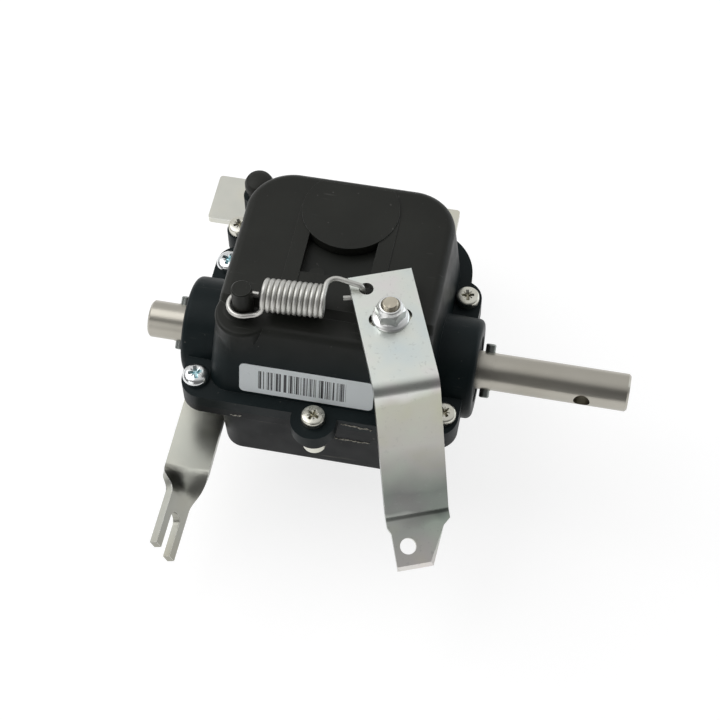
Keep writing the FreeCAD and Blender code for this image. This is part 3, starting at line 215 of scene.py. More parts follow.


# metals: the painted-shade list gives (place in metres, tone) along its axis, painted shade and painted
# reflection on the lever and the bracket; recess is the tone deep in a screw's drive, painted shade
metalLooks = {
    "leverZinc": {
        "tones": [(0.30, (0.66, 0.73, 0.73)), (0.44, (0.73, 0.76, 0.71)), (0.57, (0.75, 0.71, 0.71)),
                  (0.70, (0.77, 0.74, 0.63))],
        "rough": (0.28, 0.36), "brush": (60, 60, 60), "bump": 0.004, "cloud": 30, "specks": 0.22,
        # painted reflection and painted shade: the strip darkens towards its lower bend, while the top plate
        # and the end tab keep their colour
        "shadeFade": [(-0.018, (1.0, 1.0, 0.97)), (-0.0095, (0.77, 0.84, 0.79)), (-0.0065, (0.32, 0.34, 0.33)),
                 (0.003, (0.26, 0.28, 0.27)), (0.022, (0.62, 0.64, 0.60)), (0.0425, (0.72, 0.76, 0.65)),
                 (0.0462, (1.0, 1.0, 1.0))], "shadeAxis": "Z"},
    "bracketZinc": {
        "tones": [(0.3, (0.60, 0.61, 0.56)), (0.5, (0.66, 0.66, 0.60)), (0.7, (0.68, 0.66, 0.55))],
        "rough": (0.28, 0.38), "brush": (90, 90, 90), "bump": 0.006, "cloud": 34,
        # painted shade: the plate darkens towards the front
        "shadeFade": [(-0.092, (0.50, 0.50, 0.50)), (-0.055, (0.62, 0.62, 0.61)), (-0.030, (0.90, 0.90, 0.88)),
                 (0.0, (1.0, 1.0, 1.0))], "shadeAxis": "Y"},
    # bright finish for the eased edges of the lever and the bracket: a painted highlight
    "edgeHighlightZinc": {
        "tones": [(0.3, (0.90, 0.93, 0.95)), (0.7, (0.96, 0.96, 0.95))],
        "rough": (0.24, 0.32), "brush": (200, 200, 200), "bump": 0.01, "cloud": 90},
    "nutZinc": {
        "tones": [(0.3, (0.74, 0.76, 0.76)), (0.7, (0.82, 0.81, 0.78))],
        "rough": (0.30, 0.40), "brush": (200, 200, 200), "bump": 0.01, "cloud": 90},
    "brightZinc": {
        "tones": [(0.3, (0.69, 0.71, 0.70)), (0.7, (0.75, 0.73, 0.67))],
        "rough": (0.20, 0.30), "brush": (200, 200, 200), "bump": 0.02, "cloud": 60},
    # recess: painted shade with a bluish painted sheen deep in the screw drive
    "shinyZinc": {
        "tones": [(0.3, (0.78, 0.80, 0.81)), (0.7, (0.86, 0.86, 0.85))], "recess": (0.44, 0.64, 0.68),
        "rough": (0.17, 0.25), "brush": (300, 300, 300), "bump": 0.01, "cloud": 90},
    # recess: painted shade deep in the screw drive
    "dullZinc": {
        "tones": [(0.3, (0.62, 0.61, 0.53)), (0.7, (0.76, 0.75, 0.68))], "recess": (0.34, 0.32, 0.24),
        "rough": (0.24, 0.38), "brush": (400, 400, 400), "bump": 0.03, "cloud": 120},
    "studZinc": {
        "tones": [(0.3, (0.46, 0.42, 0.34)), (0.7, (0.60, 0.56, 0.46))],
        "rough": (0.28, 0.42), "brush": (500, 500, 500), "bump": 0.03, "cloud": 150},
    "groundSteel": {
        "tones": [(0.3, (0.40, 0.38, 0.33)), (0.7, (0.47, 0.45, 0.40))],
        "rough": (0.29, 0.36), "brush": (18, 420, 420), "bump": 0.004, "cloud": 30},
    "springSteel": {
        "tones": [(0.3, (0.54, 0.54, 0.51)), (0.7, (0.68, 0.67, 0.64))],
        "rough": (0.40, 0.52), "brush": (500, 500, 500), "bump": 0.03, "cloud": 80},
    "pinSteel": {
        "tones": [(0.3, (0.22, 0.24, 0.23)), (0.7, (0.36, 0.38, 0.36))],
        "rough": (0.30, 0.42), "brush": (500, 500, 500), "bump": 0.02, "cloud": 120},
    "darkSteel": {
        "tones": [(0.3, (0.12, 0.115, 0.11)), (0.7, (0.26, 0.25, 0.23))],
        "rough": (0.32, 0.48), "brush": (700, 700, 700), "bump": 0.04, "cloud": 90},
    "sinteredBronze": {
        "tones": [(0.3, (0.36, 0.25, 0.12)), (0.7, (0.50, 0.36, 0.19))],
        "rough": (0.38, 0.55), "brush": (900, 900, 900), "bump": 0.08, "cloud": 90},
}
metalGrain = {
    # the wobble moves the edge of the painted shade by up to its reach
    "shadeWobble": (45, 2), "shadeWobbleReach": 0.0025, "speck": (620, 2), "speckBand": (0.62, 0.72),
    "speckColour": (0.30, 0.31, 0.30), "lines": (1.0, 3, 0.6), "bumpDepth": 0.0001,
}


def metalMaterial(name, look, grain=metalGrain):
    mat, tree, shader, coord = startMaterial(name)
    colour = ramp(tree, noise(tree, coord, look["cloud"]), look["tones"])
    # painted shade and painted reflection: the colour is multiplied by the listed tones along the axis
    if "shadeFade" in look:
        low, high = look["shadeFade"][0][0], look["shadeFade"][-1][0]
        reach = grain["shadeWobbleReach"]
        shadeWobble = span(tree, noise(tree, coord, *grain["shadeWobble"]), -reach, reach)
        along = combine(tree, axes(tree, coord)[look["shadeAxis"]], shadeWobble, "ADD")
        stops = [((place - low) / (high - low), tone) for place, tone in look["shadeFade"]]
        paintedShade = ramp(tree, span(tree, along, 0, 1, low, high), stops)
        colour = mixColour(tree, 1.0, colour, paintedShade, "MULTIPLY")
    if "specks" in look:
        spots = span(tree, noise(tree, coord, *grain["speck"]), 0, 1, *grain["speckBand"])
        colour = mixColour(tree, combine(tree, spots, look["specks"]), colour, grain["speckColour"])
    # painted shade deep in a screw's drive recess, stronger the further below the crown
    if "recess" in look:
        depth = tree.nodes.new("ShaderNodeAttribute")
        depth.attribute_name = "recess"
        colour = mixColour(tree, depth.outputs["Fac"], colour, look["recess"])
    lines = noise(tree, mapped(tree, coord, look["brush"]), *grain["lines"])
    coat(tree, shader, colour, lines, look["rough"])
    bumped(tree, shader, lines, look["bump"], grain["bumpDepth"])
    shader.inputs["Metallic"].default_value = 1.0
    return mat


softLooks = {
    "sealRubber": {
        "tones": [(0.3, (0.010, 0.010, 0.010)), (0.7, (0.022, 0.022, 0.021))], "rough": (0.5, 0.7)},
    "seamFlash": {
        "tones": [(0.3, (0.38, 0.36, 0.31)), (0.7, (0.76, 0.73, 0.64))], "rough": (0.5, 0.7)},
    "frictionLining": {
        "tones": [(0.3, (0.10, 0.07, 0.05)), (0.7, (0.20, 0.14, 0.10))], "rough": (0.7, 0.9)},
    "wheelNylon": {
        "tones": [(0.3, (0.62, 0.59, 0.50)), (0.7, (0.74, 0.71, 0.62))], "rough": (0.32, 0.46)},
}
softGrain = {"cloud": (120, 4), "wear": (300, 3), "grain": (1800, 2), "bump": 0.15, "bumpDepth": 0.0002}


def softMaterial(name, look, grain=softGrain):
    mat, tree, shader, coord = startMaterial(name)
    colour = ramp(tree, noise(tree, coord, *grain["cloud"]), look["tones"])
    coat(tree, shader, colour, noise(tree, coord, *grain["wear"]), look["rough"])
    bumped(tree, shader, noise(tree, coord, *grain["grain"]), grain["bump"], grain["bumpDepth"])
    return mat


labelLook = {
    "film": (0.90, 0.95, 0.96), "filmEdge": (0.84, 0.89, 0.91), "ink": (0.035, 0.035, 0.04),
    "barsLeft": -0.024, "barsRight": 0.0115, "barsLow": 0.0099, "barsHigh": 0.0184,
    "barDensity": 900, "bars": (1.0, 2, 0.9), "inkFrom": 0.5, "rough": (0.26, 0.40),
    "cloud": (70, 3), "wear": (200, 3), "grain": (500, 2), "bump": 0.06, "bumpDepth": 0.0002,
}


def inside(tree, value, low, high):
    above = combine(tree, value, low, "GREATER_THAN")
    return combine(tree, above, combine(tree, value, high, "LESS_THAN"))


def labelMaterial(name, look):
    mat, tree, shader, coord = startMaterial(name)
    place = axes(tree, coord)
    stripes = noise(tree, mapped(tree, coord, (look["barDensity"], 0, 0)), *look["bars"])
    bars = combine(tree, stripes, look["inkFrom"], "GREATER_THAN")
    bars = combine(tree, bars, inside(tree, place["X"], look["barsLeft"], look["barsRight"]))
    bars = combine(tree, bars, inside(tree, place["Z"], look["barsLow"], look["barsHigh"]))
    paper = mixColour(tree, noise(tree, coord, *look["cloud"]), look["filmEdge"], look["film"])
    colour = mixColour(tree, bars, paper, look["ink"])
    coat(tree, shader, colour, noise(tree, coord, *look["wear"]), look["rough"])
    bumped(tree, shader, noise(tree, coord, *look["grain"]), look["bump"], look["bumpDepth"])
    return mat


finishes = {name: plasticMaterial(name, look) for name, look in plasticLooks.items()}
finishes.update({name: metalMaterial(name, look) for name, look in metalLooks.items()})
finishes.update({name: softMaterial(name, look) for name, look in softLooks.items()})
finishes["labelFilm"] = labelMaterial("labelFilm", labelLook)
finishOfSlot = {
    "housing_upper": "upperPlastic", "housing_lower": "lowerPlastic", "label_white": "labelFilm",
    "zinc_bright": "brightZinc", "zinc_dull": "dullZinc", "steel_ground": "groundSteel",
    "steel_dark": "darkSteel", "spring_wire": "springSteel", "bronze": "sinteredBronze",
    "rubber_black": "sealRubber", "lining": "frictionLining", "cap_black": "capPlastic",
    "wheel_nylon": "wheelNylon",
}
for name, node in nodes.items():
    for materialSlot in node.material_slots:
        materialSlot.material = finishes[finishOfSlot[slotOf[name]]]
print("materials made:", len(finishes))


# objects and meshes

def addObject(name, data):
    obj = bpy.data.objects.new(name, data)
    scene.collection.objects.link(obj)
    return obj


def settle(obj, body, slotName, *replaced):
    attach(obj, body)
    if replaced:
        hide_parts(*replaced)
    return obj


def bakedMesh(obj):
    bpy.context.view_layer.update()
    return bpy.data.meshes.new_from_object(obj.evaluated_get(bpy.context.evaluated_depsgraph_get()))


def smoothByAngle(mesh, degrees):
    for face in mesh.polygons:
        face.use_smooth = True
    mesh.set_sharp_from_angle(angle=math.radians(degrees))


# pieces taken from the solids, with eased edges; where an edge finish is given, the eased edges take it as a
# painted highlight
# lengths in mm, angles in degrees
easing = {"merge": 0.004, "flatAngle": 0.4, "sharpAngle": 32, "segments": 2}
easedPieces = {
    "upperHousingShell": ("upper_housing", {"ease": 0.42, "edge": "upperEdgeWearAndHighlight"}),
    "lowerHousingShell": ("lower_housing", {"ease": 0.42, "edge": "lowerEdgeWearAndHighlight"}),
    "frontLabel": ("label", {"ease": 0}),
    "breatherKnob": ("breather_cap", {"ease": 0.2}),
    "outputShaftBar": ("output_shaft", {"ease": 0.1}),
    "clutchLeverStrip": ("clutch_lever", {
        "ease": 0.45, "finish": "leverZinc", "edge": "edgeHighlightZinc",
        "tab": {"normal": (0.153, -0.379, 0.913), "width": 1.5, "shortest": 3.0, "rearmost": -66.0,
                "topShare": 0.999, "wallShare": 0.1, "leastOutward": -0.3}}),
    "torqueBracketPlate": ("torque_bracket", {"ease": 0.35, "finish": "bracketZinc", "edge": "edgeHighlightZinc"}),
    "leverSpacerRing": ("lever_spacer", {"ease": 0.15}),
    "frontNutBody": ("front_nut", {"ease": 0.15}),
    "leftShaftSeal": ("left_seal", {"ease": 0.1}),
    "rightShaftSeal": ("right_seal", {"ease": 0.1}),
    "bracketScrewPair": ("bracket_screws", {"ease": 0.1}),
}


def coinTab(shape, tab):
    # wide pressed edges round the tab at the lever's lower end
    top = Vector(tab["normal"]).normalized()
    chosen = []
    for edge in shape.edges:
        sides = [face.normal for face in edge.link_faces]
        if len(sides) != 2 or edge.calc_length() < tab["shortest"] * mm:
            continue
        facing = [side.dot(top) for side in sides]
        meetsWall = min(abs(share) for share in facing) < tab["wallShare"]
        outward = min(side.x for side in sides) > tab["leastOutward"]
        onTab = max(vert.co.y for vert in edge.verts) < tab["rearmost"] * mm
        if max(facing) > tab["topShare"] and meetsWall and outward and onTab:
            chosen.append(edge)
    bmesh.ops.bevel(shape, geom=chosen, offset=tab["width"] * mm, segments=1, profile=0.5, affect="EDGES",
                    clamp_overlap=True)


def easedCopy(name, node, look):
    mesh = nodes[node].data.copy()
    mesh.transform(nodes[node].matrix_world)
    shape = bmesh.new()
    shape.from_mesh(mesh)
    bmesh.ops.remove_doubles(shape, verts=shape.verts, dist=easing["merge"] * mm)
    bmesh.ops.dissolve_limit(shape, angle_limit=math.radians(easing["flatAngle"]), verts=shape.verts,
                             edges=shape.edges)
    if "tab" in look:
        coinTab(shape, look["tab"])
    shape.to_mesh(mesh)
    shape.free()
    mesh.materials.clear()
    mesh.materials.append(finishes[look.get("finish", finishOfSlot[slotOf[node]])])
    obj = addObject(name, mesh)
    smoothByAngle(mesh, easing["sharpAngle"])
    if look["ease"]:
        bevel = obj.modifiers.new("easedEdges", "BEVEL")
        bevel.width = look["ease"] * mm
        bevel.segments = easing["segments"]
        bevel.limit_method = "ANGLE"
        bevel.angle_limit = math.radians(easing["sharpAngle"])
        # the eased edges take the lighter edge finish: a painted highlight, partly wear on the housings
        if "edge" in look:
            mesh.materials.append(finishes[look["edge"]])
            bevel.material = 1
    weighted = obj.modifiers.new("flatFaces", "WEIGHTED_NORMAL")
    weighted.keep_sharp = True
    eased = bakedMesh(obj)
    obj.modifiers.clear()
    obj.data = eased
    return settle(obj, bodyOf[node], slotOf[node], node)


for piece, (node, look) in easedPieces.items():
    easedCopy(piece, node, look)
print("pieces from the solids:", len(easedPieces))


# geometry nodes

def startTree(name, inputs):
    tree = bpy.data.node_groups.new(name, "GeometryNodeTree")
    tree.interface.new_socket("Geometry", in_out="INPUT", socket_type="NodeSocketGeometry")
    for label, kind in inputs:
        tree.interface.new_socket(label, in_out="INPUT", socket_type=kind)
    tree.interface.new_socket("Geometry", in_out="OUTPUT", socket_type="NodeSocketGeometry")
    return tree, tree.nodes.new("NodeGroupInput"), tree.nodes.new("NodeGroupOutput")


def finishTree(tree, geometry, groupIn, groupOut):
    smooth = tree.nodes.new("GeometryNodeSetShadeSmooth")
    realize = tree.nodes.new("GeometryNodeRealizeInstances")
    paint = tree.nodes.new("GeometryNodeSetMaterial")
    tree.links.new(geometry, smooth.inputs["Geometry"])
    tree.links.new(smooth.outputs["Geometry"], realize.inputs["Geometry"])
    tree.links.new(realize.outputs["Geometry"], paint.inputs["Geometry"])
    tree.links.new(groupIn.outputs["Material"], paint.inputs["Material"])
    tree.links.new(paint.outputs["Geometry"], groupOut.inputs["Geometry"])


def wireTree():
    tree, groupIn, groupOut = startTree("wireAlongPath", [
        ("Wire Radius", "NodeSocketFloat"), ("Sides", "NodeSocketInt"), ("Material", "NodeSocketMaterial")])
    circle = tree.nodes.new("GeometryNodeCurvePrimitiveCircle")
    sweep = tree.nodes.new("GeometryNodeCurveToMesh")
    sweep.inputs["Fill Caps"].default_value = True
    tree.links.new(groupIn.outputs["Sides"], circle.inputs["Resolution"])
    tree.links.new(groupIn.outputs["Wire Radius"], circle.inputs["Radius"])
    tree.links.new(groupIn.outputs["Geometry"], sweep.inputs["Curve"])
    tree.links.new(circle.outputs["Curve"], sweep.inputs["Profile Curve"])
    finishTree(tree, sweep.outputs["Mesh"], groupIn, groupOut)
    return tree


def pointValue(tree, name, kind):
    node = tree.nodes.new("GeometryNodeInputNamedAttribute")
    node.data_type = kind
    node.inputs["Name"].default_value = name
    return node.outputs["Attribute"]


def copiesTree():
    tree, groupIn, groupOut = startTree("copiesOnPoints", [
        ("Master", "NodeSocketObject"), ("Material", "NodeSocketMaterial")])
    master = tree.nodes.new("GeometryNodeObjectInfo")
    place = tree.nodes.new("GeometryNodeInstanceOnPoints")
    tree.links.new(groupIn.outputs["Master"], master.inputs["Object"])
    tree.links.new(groupIn.outputs["Geometry"], place.inputs["Points"])
    tree.links.new(master.outputs["Geometry"], place.inputs["Instance"])
    tree.links.new(pointValue(tree, "turn", "FLOAT_VECTOR"), place.inputs["Rotation"])
    tree.links.new(pointValue(tree, "size", "FLOAT"), place.inputs["Scale"])
    finishTree(tree, place.outputs["Instances"], groupIn, groupOut)
    return tree


wireMaker = wireTree()
copyMaker = copiesTree()


def bakeTree(name, source, tree, values):
    modifier = source.modifiers.new("maker", "NODES")
    modifier.node_group = tree
    for item in tree.interface.items_tree:
        if item.in_out == "INPUT" and item.name in values:
            modifier[item.identifier] = values[item.name]
    mesh = bakedMesh(source)
    bpy.data.objects.remove(source)
    return addObject(name, mesh)


def pointMesh(name, places):
    # places of (point, turn, size)
    mesh = bpy.data.meshes.new(name)
    mesh.from_pydata([point for point, turn, size in places], [], [])
    turns = mesh.attributes.new("turn", "FLOAT_VECTOR", "POINT")
    turns.data.foreach_set("vector", [value for point, turn, size in places for value in turn])
    sizes = mesh.attributes.new("size", "FLOAT", "POINT")
    sizes.data.foreach_set("value", [size for point, turn, size in places])
    return addObject(name, mesh)


def copiesOf(name, master, places, finish):
    # the master is used up
    values = {"Master": master, "Material": finishes[finish]}
    made = bakeTree(name, pointMesh(name + "Points", places), copyMaker, values)
    bpy.data.objects.remove(master)
    return made


# shapes from rings of points

def addRing(shape, radii, height):
    # one radius for each side, in mm; a single radius of 0 is a point on the axis
    step = 2 * math.pi / len(radii)
    return [shape.verts.new((radius * mm * math.cos(step * k), radius * mm * math.sin(step * k), height * mm))
            for k, radius in enumerate(radii)]


def evenRings(shape, outline, sides):
    # outline of (radius, height) in mm
    return [addRing(shape, [radius] * (sides if radius else 1), height) for radius, height in outline]


def skin(shape, rings):
    # faces between each ring and the next, triangles where one of them is a point
    for low, high in zip(rings, rings[1:]):
        for k in range(max(len(low), len(high))):
            after = k + 1
            corners = [low[k % len(low)], low[after % len(low)], high[after % len(high)], high[k % len(high)]]
            shape.faces.new(list(dict.fromkeys(corners)))


def meshOf(shape, name):
    bmesh.ops.recalc_face_normals(shape, faces=shape.faces)
    mesh = bpy.data.meshes.new(name)
    shape.to_mesh(mesh)
    shape.free()
    return mesh


def lathe(name, outline, sides):
    # outline of (radius, height) in mm, closed on the axis at both ends
    shape = bmesh.new()
    skin(shape, evenRings(shape, outline, sides))
    return addObject(name, meshOf(shape, name))


carving = {"merge": 0.01, "sliver": 0.005}


def carved(name, blank, steps):
    # steps of (operation, tool); the blank and the tools are used up
    for operation, tool in steps:
        carve = blank.modifiers.new("carve", "BOOLEAN")
        carve.operation = operation
        carve.solver = "EXACT"
        carve.object = tool
    mesh = bakedMesh(blank)
    for spare in [blank] + [tool for operation, tool in steps]:
        bpy.data.objects.remove(spare)
    shape = bmesh.new()
    shape.from_mesh(mesh)
    bmesh.ops.remove_doubles(shape, verts=shape.verts, dist=carving["merge"] * mm)
    bmesh.ops.dissolve_degenerate(shape, edges=shape.edges, dist=carving["sliver"] * mm)
    shape.to_mesh(mesh)
    shape.free()
    mesh.name = name
    return mesh


# flange screws: crowns as shares of the head's radius and height, places as ((x, y), turn)

screws = {
    "shankRadius": 2.5, "shankLength": 10.0, "seat": 6.0, "sides": 56, "sharpAngle": 35,
    "shankPoint": (0.5, 0.8), "headEdge": (0.15, 0.2),
    "recess": {"floorShare": 0.45, "wallShare": 0.8, "over": 1.0},
    # where the drive recess gets its painted shade, and the depth over which it fades in
    "recessShadeMark": {"start": 0.2, "reach": 0.62, "top": 0.93, "shadeFade": 0.9},
    "pan": {
        "headRadius": 5.3, "headHeight": 3.8,
        "crown": [(1.0, 0.36), (0.97, 0.52), (0.90, 0.68), (0.79, 0.81), (0.63, 0.91), (0.40, 0.97)],
        "cross": {"span": 6.0, "arm": 1.5, "depth": 1.5, "turn": 0},
        "ticks": {"span": 5.0, "arm": 0.6, "depth": 0.8, "turn": 45}},
    "cheese": {
        "headRadius": 4.7, "headHeight": 3.8,
        "crown": [(1.0, 0.66), (0.985, 0.78), (0.94, 0.87), (0.87, 0.93), (0.76, 0.965), (0.40, 0.99)],
        "cross": {"span": 5.2, "arm": 1.25, "depth": 1.35, "turn": 0},
        "ticks": {"span": 4.6, "arm": 0.5, "depth": 0.7, "turn": 45}},
    "bright": [((-49.4, -28.3), 20), ((-49.4, 28.3), 75)],
    "dull": [((49.4, -28.3), 40), ((49.4, 28.3), 12), ((-49.4, 46.7), 30), ((0, -39.0), 65)],
}


def crossPrism(cross, top, recess):
    # a cross-shaped cutter that narrows towards its floor
    half, arm = cross["span"] / 2, cross["arm"] / 2
    outline = [(half, -arm), (half, arm), (arm, arm), (arm, half), (-arm, half), (-arm, arm),
               (-half, arm), (-half, -arm), (-arm, -arm), (-arm, -half), (arm, -half), (arm, -arm)]
    floor = top - cross["depth"]
    levels = [(recess["floorShare"], floor), (1.0, floor + cross["depth"] * recess["wallShare"]),
              (1.0, top + recess["over"])]
    shape = bmesh.new()
    rings = [[shape.verts.new((x * share * mm, y * share * mm, z * mm)) for x, y in outline]
             for share, z in levels]
    skin(shape, rings)
    shape.faces.new(rings[0][::-1])
    shape.faces.new(rings[-1])
    turn = Matrix.Rotation(math.radians(cross["turn"]), 3, "Z")
    bmesh.ops.rotate(shape, verts=shape.verts, matrix=turn)
    return addObject("recessCutter", meshOf(shape, "recessCutter"))


def markRecessShade(mesh, head, height, mark):
    # how far each point of the drive recess lies below the crown, from 0 to 1, which sets how much painted
    # shade it gets
    marks = mesh.attributes.new("recess", "FLOAT", "POINT")
    for index, vert in enumerate(mesh.vertices):
        radius = math.hypot(vert.co.x, vert.co.y)
        if vert.co.z > mark["start"] * mm and radius < mark["reach"] * head * mm:
            below = height * mark["top"] * mm - vert.co.z
            marks.data[index].value = min(1.0, max(0.0, below / (mark["shadeFade"] * mm)))


def screwMaster(look, kind):
    head, height = kind["headRadius"], kind["headHeight"]
    shank, length = look["shankRadius"], look["shankLength"]
    pointIn, pointUp = look["shankPoint"]
    edgeIn, edgeUp = look["headEdge"]
    crown = [(head * across, height * up) for across, up in kind["crown"]]
    outline = [(0, -length), (shank - pointIn, -length), (shank, -length + pointUp), (shank, 0),
               (head - edgeIn, 0), (head, edgeUp)] + crown + [(0, height)]
    blank = lathe("screwMaster", outline, look["sides"])
    cutters = [crossPrism(kind[name], height, look["recess"]) for name in ("cross", "ticks")]
    mesh = carved("screwMaster", blank, [("DIFFERENCE", cutter) for cutter in cutters])
    smoothByAngle(mesh, look["sharpAngle"])
    markRecessShade(mesh, head, height, look["recessShadeMark"])
    return addObject("screwMaster", mesh)


def makeScrews(name, places, kind, finish, look):
    spots = [(Vector((x, y, look["seat"])) * mm, (0, 0, math.radians(turn)), 1) for (x, y), turn in places]
    return copiesOf(name, screwMaster(look, look[kind]), spots, finish)


brightScrews = makeScrews("brightFlangeScrews", screws["bright"], "pan", "shinyZinc", screws)
dullScrews = makeScrews("dullFlangeScrews", screws["dull"], "cheese", "dullZinc", screws)
settle(brightScrews, "housing", "zinc_bright", "flange_screws")
settle(dullScrews, "housing", "zinc_dull")
print("flange screws made")


# ragged moulding flash along the front seam: chip corners as shares of its length and thickness

flash = {
    "seed": 7, "spacing": 0.36, "stray": 0.36, "drag": 0.7, "spin": 6.28, "tip": 0.6, "sizes": (0.4, 1.5),
    "runs": [((10.6, -37.55, 3.7), (22.9, -37.55, 2.8)), ((8.0, -36.55, -9.2), (21.4, -36.55, -9.0)),
             ((-33.8, -37.55, -2.9), (-29.6, -37.55, -2.2))],
    "length": 0.62, "thickness": 0.24,
    "corners": [(-1, 0, 0), (-0.2, -1, 0.7), (-0.3, 1, 0.5), (-0.2, 0, -1), (1, 0.3, 0)],
    "faces": [(0, 1, 2), (0, 3, 1), (0, 2, 3), (4, 2, 1), (4, 1, 3), (4, 3, 2)],
}


def chipMaster(look):
    long, thin = look["length"] * mm, look["thickness"] * mm
    mesh = bpy.data.meshes.new("chipMaster")
    mesh.from_pydata([(x * long, y * thin, z * thin) for x, y, z in look["corners"]], [], look["faces"])
    return addObject("chipMaster", mesh)


def flashPlaces(look):
    chance = random.Random(look["seed"])
    places = []
    for first, last in look["runs"]:
        first, last = Vector(first), Vector(last)
        count = int((last - first).length / look["spacing"])
        drift = 0
        for k in range(count):
            drift = look["drag"] * drift + chance.uniform(-1, 1) * look["stray"]
            point = first.lerp(last, k / count) + Vector((0, 0, drift))
            turn = (chance.uniform(0, look["spin"]), chance.uniform(-look["tip"], look["tip"]), 0)
            places.append((point * mm, turn, chance.uniform(*look["sizes"])))
    return places


seamFlash = copiesOf("frontSeamFlash", chipMaster(flash), flashPlaces(flash), "seamFlash")
settle(seamFlash, "housing", "housing_lower")
print("seam flash made")


# spring pins across the shaft

pins = {
    "radius": 2.0, "wall": 0.8, "length": 21.5, "slit": 26.0, "edge": 0.35, "place": 62.4, "tilt": 38.0,
    "steps": 26, "sharpAngle": 35,
}


def pinMaster(look):
    # a slit tube: one wall section carried round from one side of the slit to the other
    outer, inner = look["radius"], look["radius"] - look["wall"]
    half, edge = look["length"] / 2, look["edge"]
    outline = [(inner, -half), (outer - edge, -half), (outer, -half + edge), (outer, half - edge),
               (outer - edge, half), (inner, half)]
    gap = math.radians(look["slit"])
    shape = bmesh.new()
    sections = []
    for k in range(look["steps"] + 1):
        angle = gap / 2 + (2 * math.pi - gap) * k / look["steps"]
        sections.append([shape.verts.new((r * mm * math.cos(angle), r * mm * math.sin(angle), z * mm))
                         for r, z in outline])
    skin(shape, sections)
    shape.faces.new(sections[0])
    shape.faces.new(sections[-1][::-1])
    mesh = meshOf(shape, "pinMaster")
    smoothByAngle(mesh, look["sharpAngle"])
    return addObject("pinMaster", mesh)


pinTurn = (math.radians(pins["tilt"] - 90), 0, 0)
pinSpots = [(Vector((side * pins["place"] * mm, 0, 0)), pinTurn, 1) for side in (-1, 1)]
springPins = copiesOf("shaftSpringPins", pinMaster(pins), pinSpots, "pinSteel")
settle(springPins, "output_shaft", "steel_dark", "roll_pins")
print("spring pins made")


# return spring: loop, coil and hook in one wire

spring = {
    "wireRadius": 1.0, "sides": 16, "coilRadius": 5.6, "turns": 11.25, "pitch": 2.04, "skew": 3.0,
    "coilBase": (-22.96, -13.0, 47.0), "firstAngle": 3.0,
    "stepsPerTurn": 32, "stepsPerBend": 18, "stepsPerLoop": 54,
    "post": (-31.0, -15.4), "loopRadius": 5.55, "loopHeight": 42.2, "loopBend": 4.2, "loopTail": 4.8,
    "loopEnd": -270.0,
    "hookRun": 7.6, "hookBend": 4.2, "over": (13.35, -5.05, 51.0), "underHeight": 44.2, "tightBend": 2.0,
    "tip": (-7.2, -2.0),
}


def roundedPath(corners, steps):
    # straight runs through corners of (point, radius), joined by tangent arcs
    line = [Vector(corners[0][0])]
    for index in range(1, len(corners) - 1):
        before, point, after = (Vector(corners[index + k][0]) for k in (-1, 0, 1))
        toBefore, toAfter = (before - point).normalized(), (after - point).normalized()
        half = toBefore.angle(toAfter) / 2
        radius = corners[index][1]
        reach = radius / math.tan(half)
        centre = point + (toBefore + toAfter).normalized() * (radius / math.sin(half))
        first, last = point + toBefore * reach - centre, point + toAfter * reach - centre
        turn = first.angle(last)
        for k in range(steps + 1):
            done = turn * k / steps
            spoke = first * math.sin(turn - done) + last * math.sin(done)
            line.append(centre + spoke / math.sin(turn))
    line.append(Vector(corners[-1][0]))
    return line


def coilLine(look):
    skew = math.radians(look["skew"])
    axis = Vector((math.cos(skew), math.sin(skew), 0))
    front = Vector((math.sin(skew), -math.cos(skew), 0))
    up = Vector((0, 0, 1))
    line = []
    for k in range(round(look["turns"] * look["stepsPerTurn"]) + 1):
        share = k / look["stepsPerTurn"]
        angle = math.radians(look["firstAngle"]) + 2 * math.pi * share
        spoke = front * math.cos(angle) + up * math.sin(angle)
        line.append(Vector(look["coilBase"]) + axis * (look["pitch"] * share) + spoke * look["coilRadius"])
    return line


def loopLine(look, start):
    # from the coil down to the pad and round the far side of the post
    postX, postY = look["post"]
    height, radius = look["loopHeight"], look["loopRadius"]
    corner = Vector((start.x, start.y, height))
    reach = Vector((corner.x - postX, corner.y - postY))
    angle = math.atan2(reach.y, reach.x) - math.acos(radius / reach.length)
    sweep = math.radians(look["loopEnd"]) - angle
    arc = []
    for k in range(look["stepsPerLoop"] + 1):
        turn = angle + sweep * k / look["stepsPerLoop"]
        arc.append(Vector((postX + radius * math.cos(turn), postY + radius * math.sin(turn), height)))
    tail = arc[-1] + Vector((look["loopTail"], 0, 0))
    descent = roundedPath([(start, 0), (corner, look["loopBend"]), (arc[0], 0)], look["stepsPerBend"])
    return descent[:-1] + arc + [tail]


def hookLine(look, end, way):
    over = Vector(look["over"])
    under = Vector((over.x, over.y, look["underHeight"]))
    tip = under + Vector((*look["tip"], 0))
    return roundedPath([(end, 0), (end + way * look["hookRun"], look["hookBend"]), (over, look["tightBend"]),
                        (under, look["tightBend"]), (tip, 0)], look["stepsPerBend"])


def springLine(look):
    coil = coilLine(look)
    loop = loopLine(look, coil[0])
    hook = hookLine(look, coil[-1], (coil[-1] - coil[-2]).normalized())
    return loop[::-1][:-1] + coil + hook[1:], coil


def pathCurve(name, points):
    curve = bpy.data.curves.new(name, "CURVE")
    curve.dimensions = "3D"
    line = curve.splines.new("POLY")
    line.points.add(len(points) - 1)
    for spot, point in zip(line.points, points):
        spot.co = (*(point * mm), 1)
    return addObject(name, curve)


springPoints, coilPoints = springLine(spring)
returnSpring = bakeTree("returnSpringWire", pathCurve("springPath", springPoints), wireMaker, {
    "Wire Radius": spring["wireRadius"] * mm, "Sides": spring["sides"], "Material": finishes["springSteel"]})
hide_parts("return_spring")
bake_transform(returnSpring)
print("return spring made:", len(springPoints), "points")


# lever spindle with its threaded stud

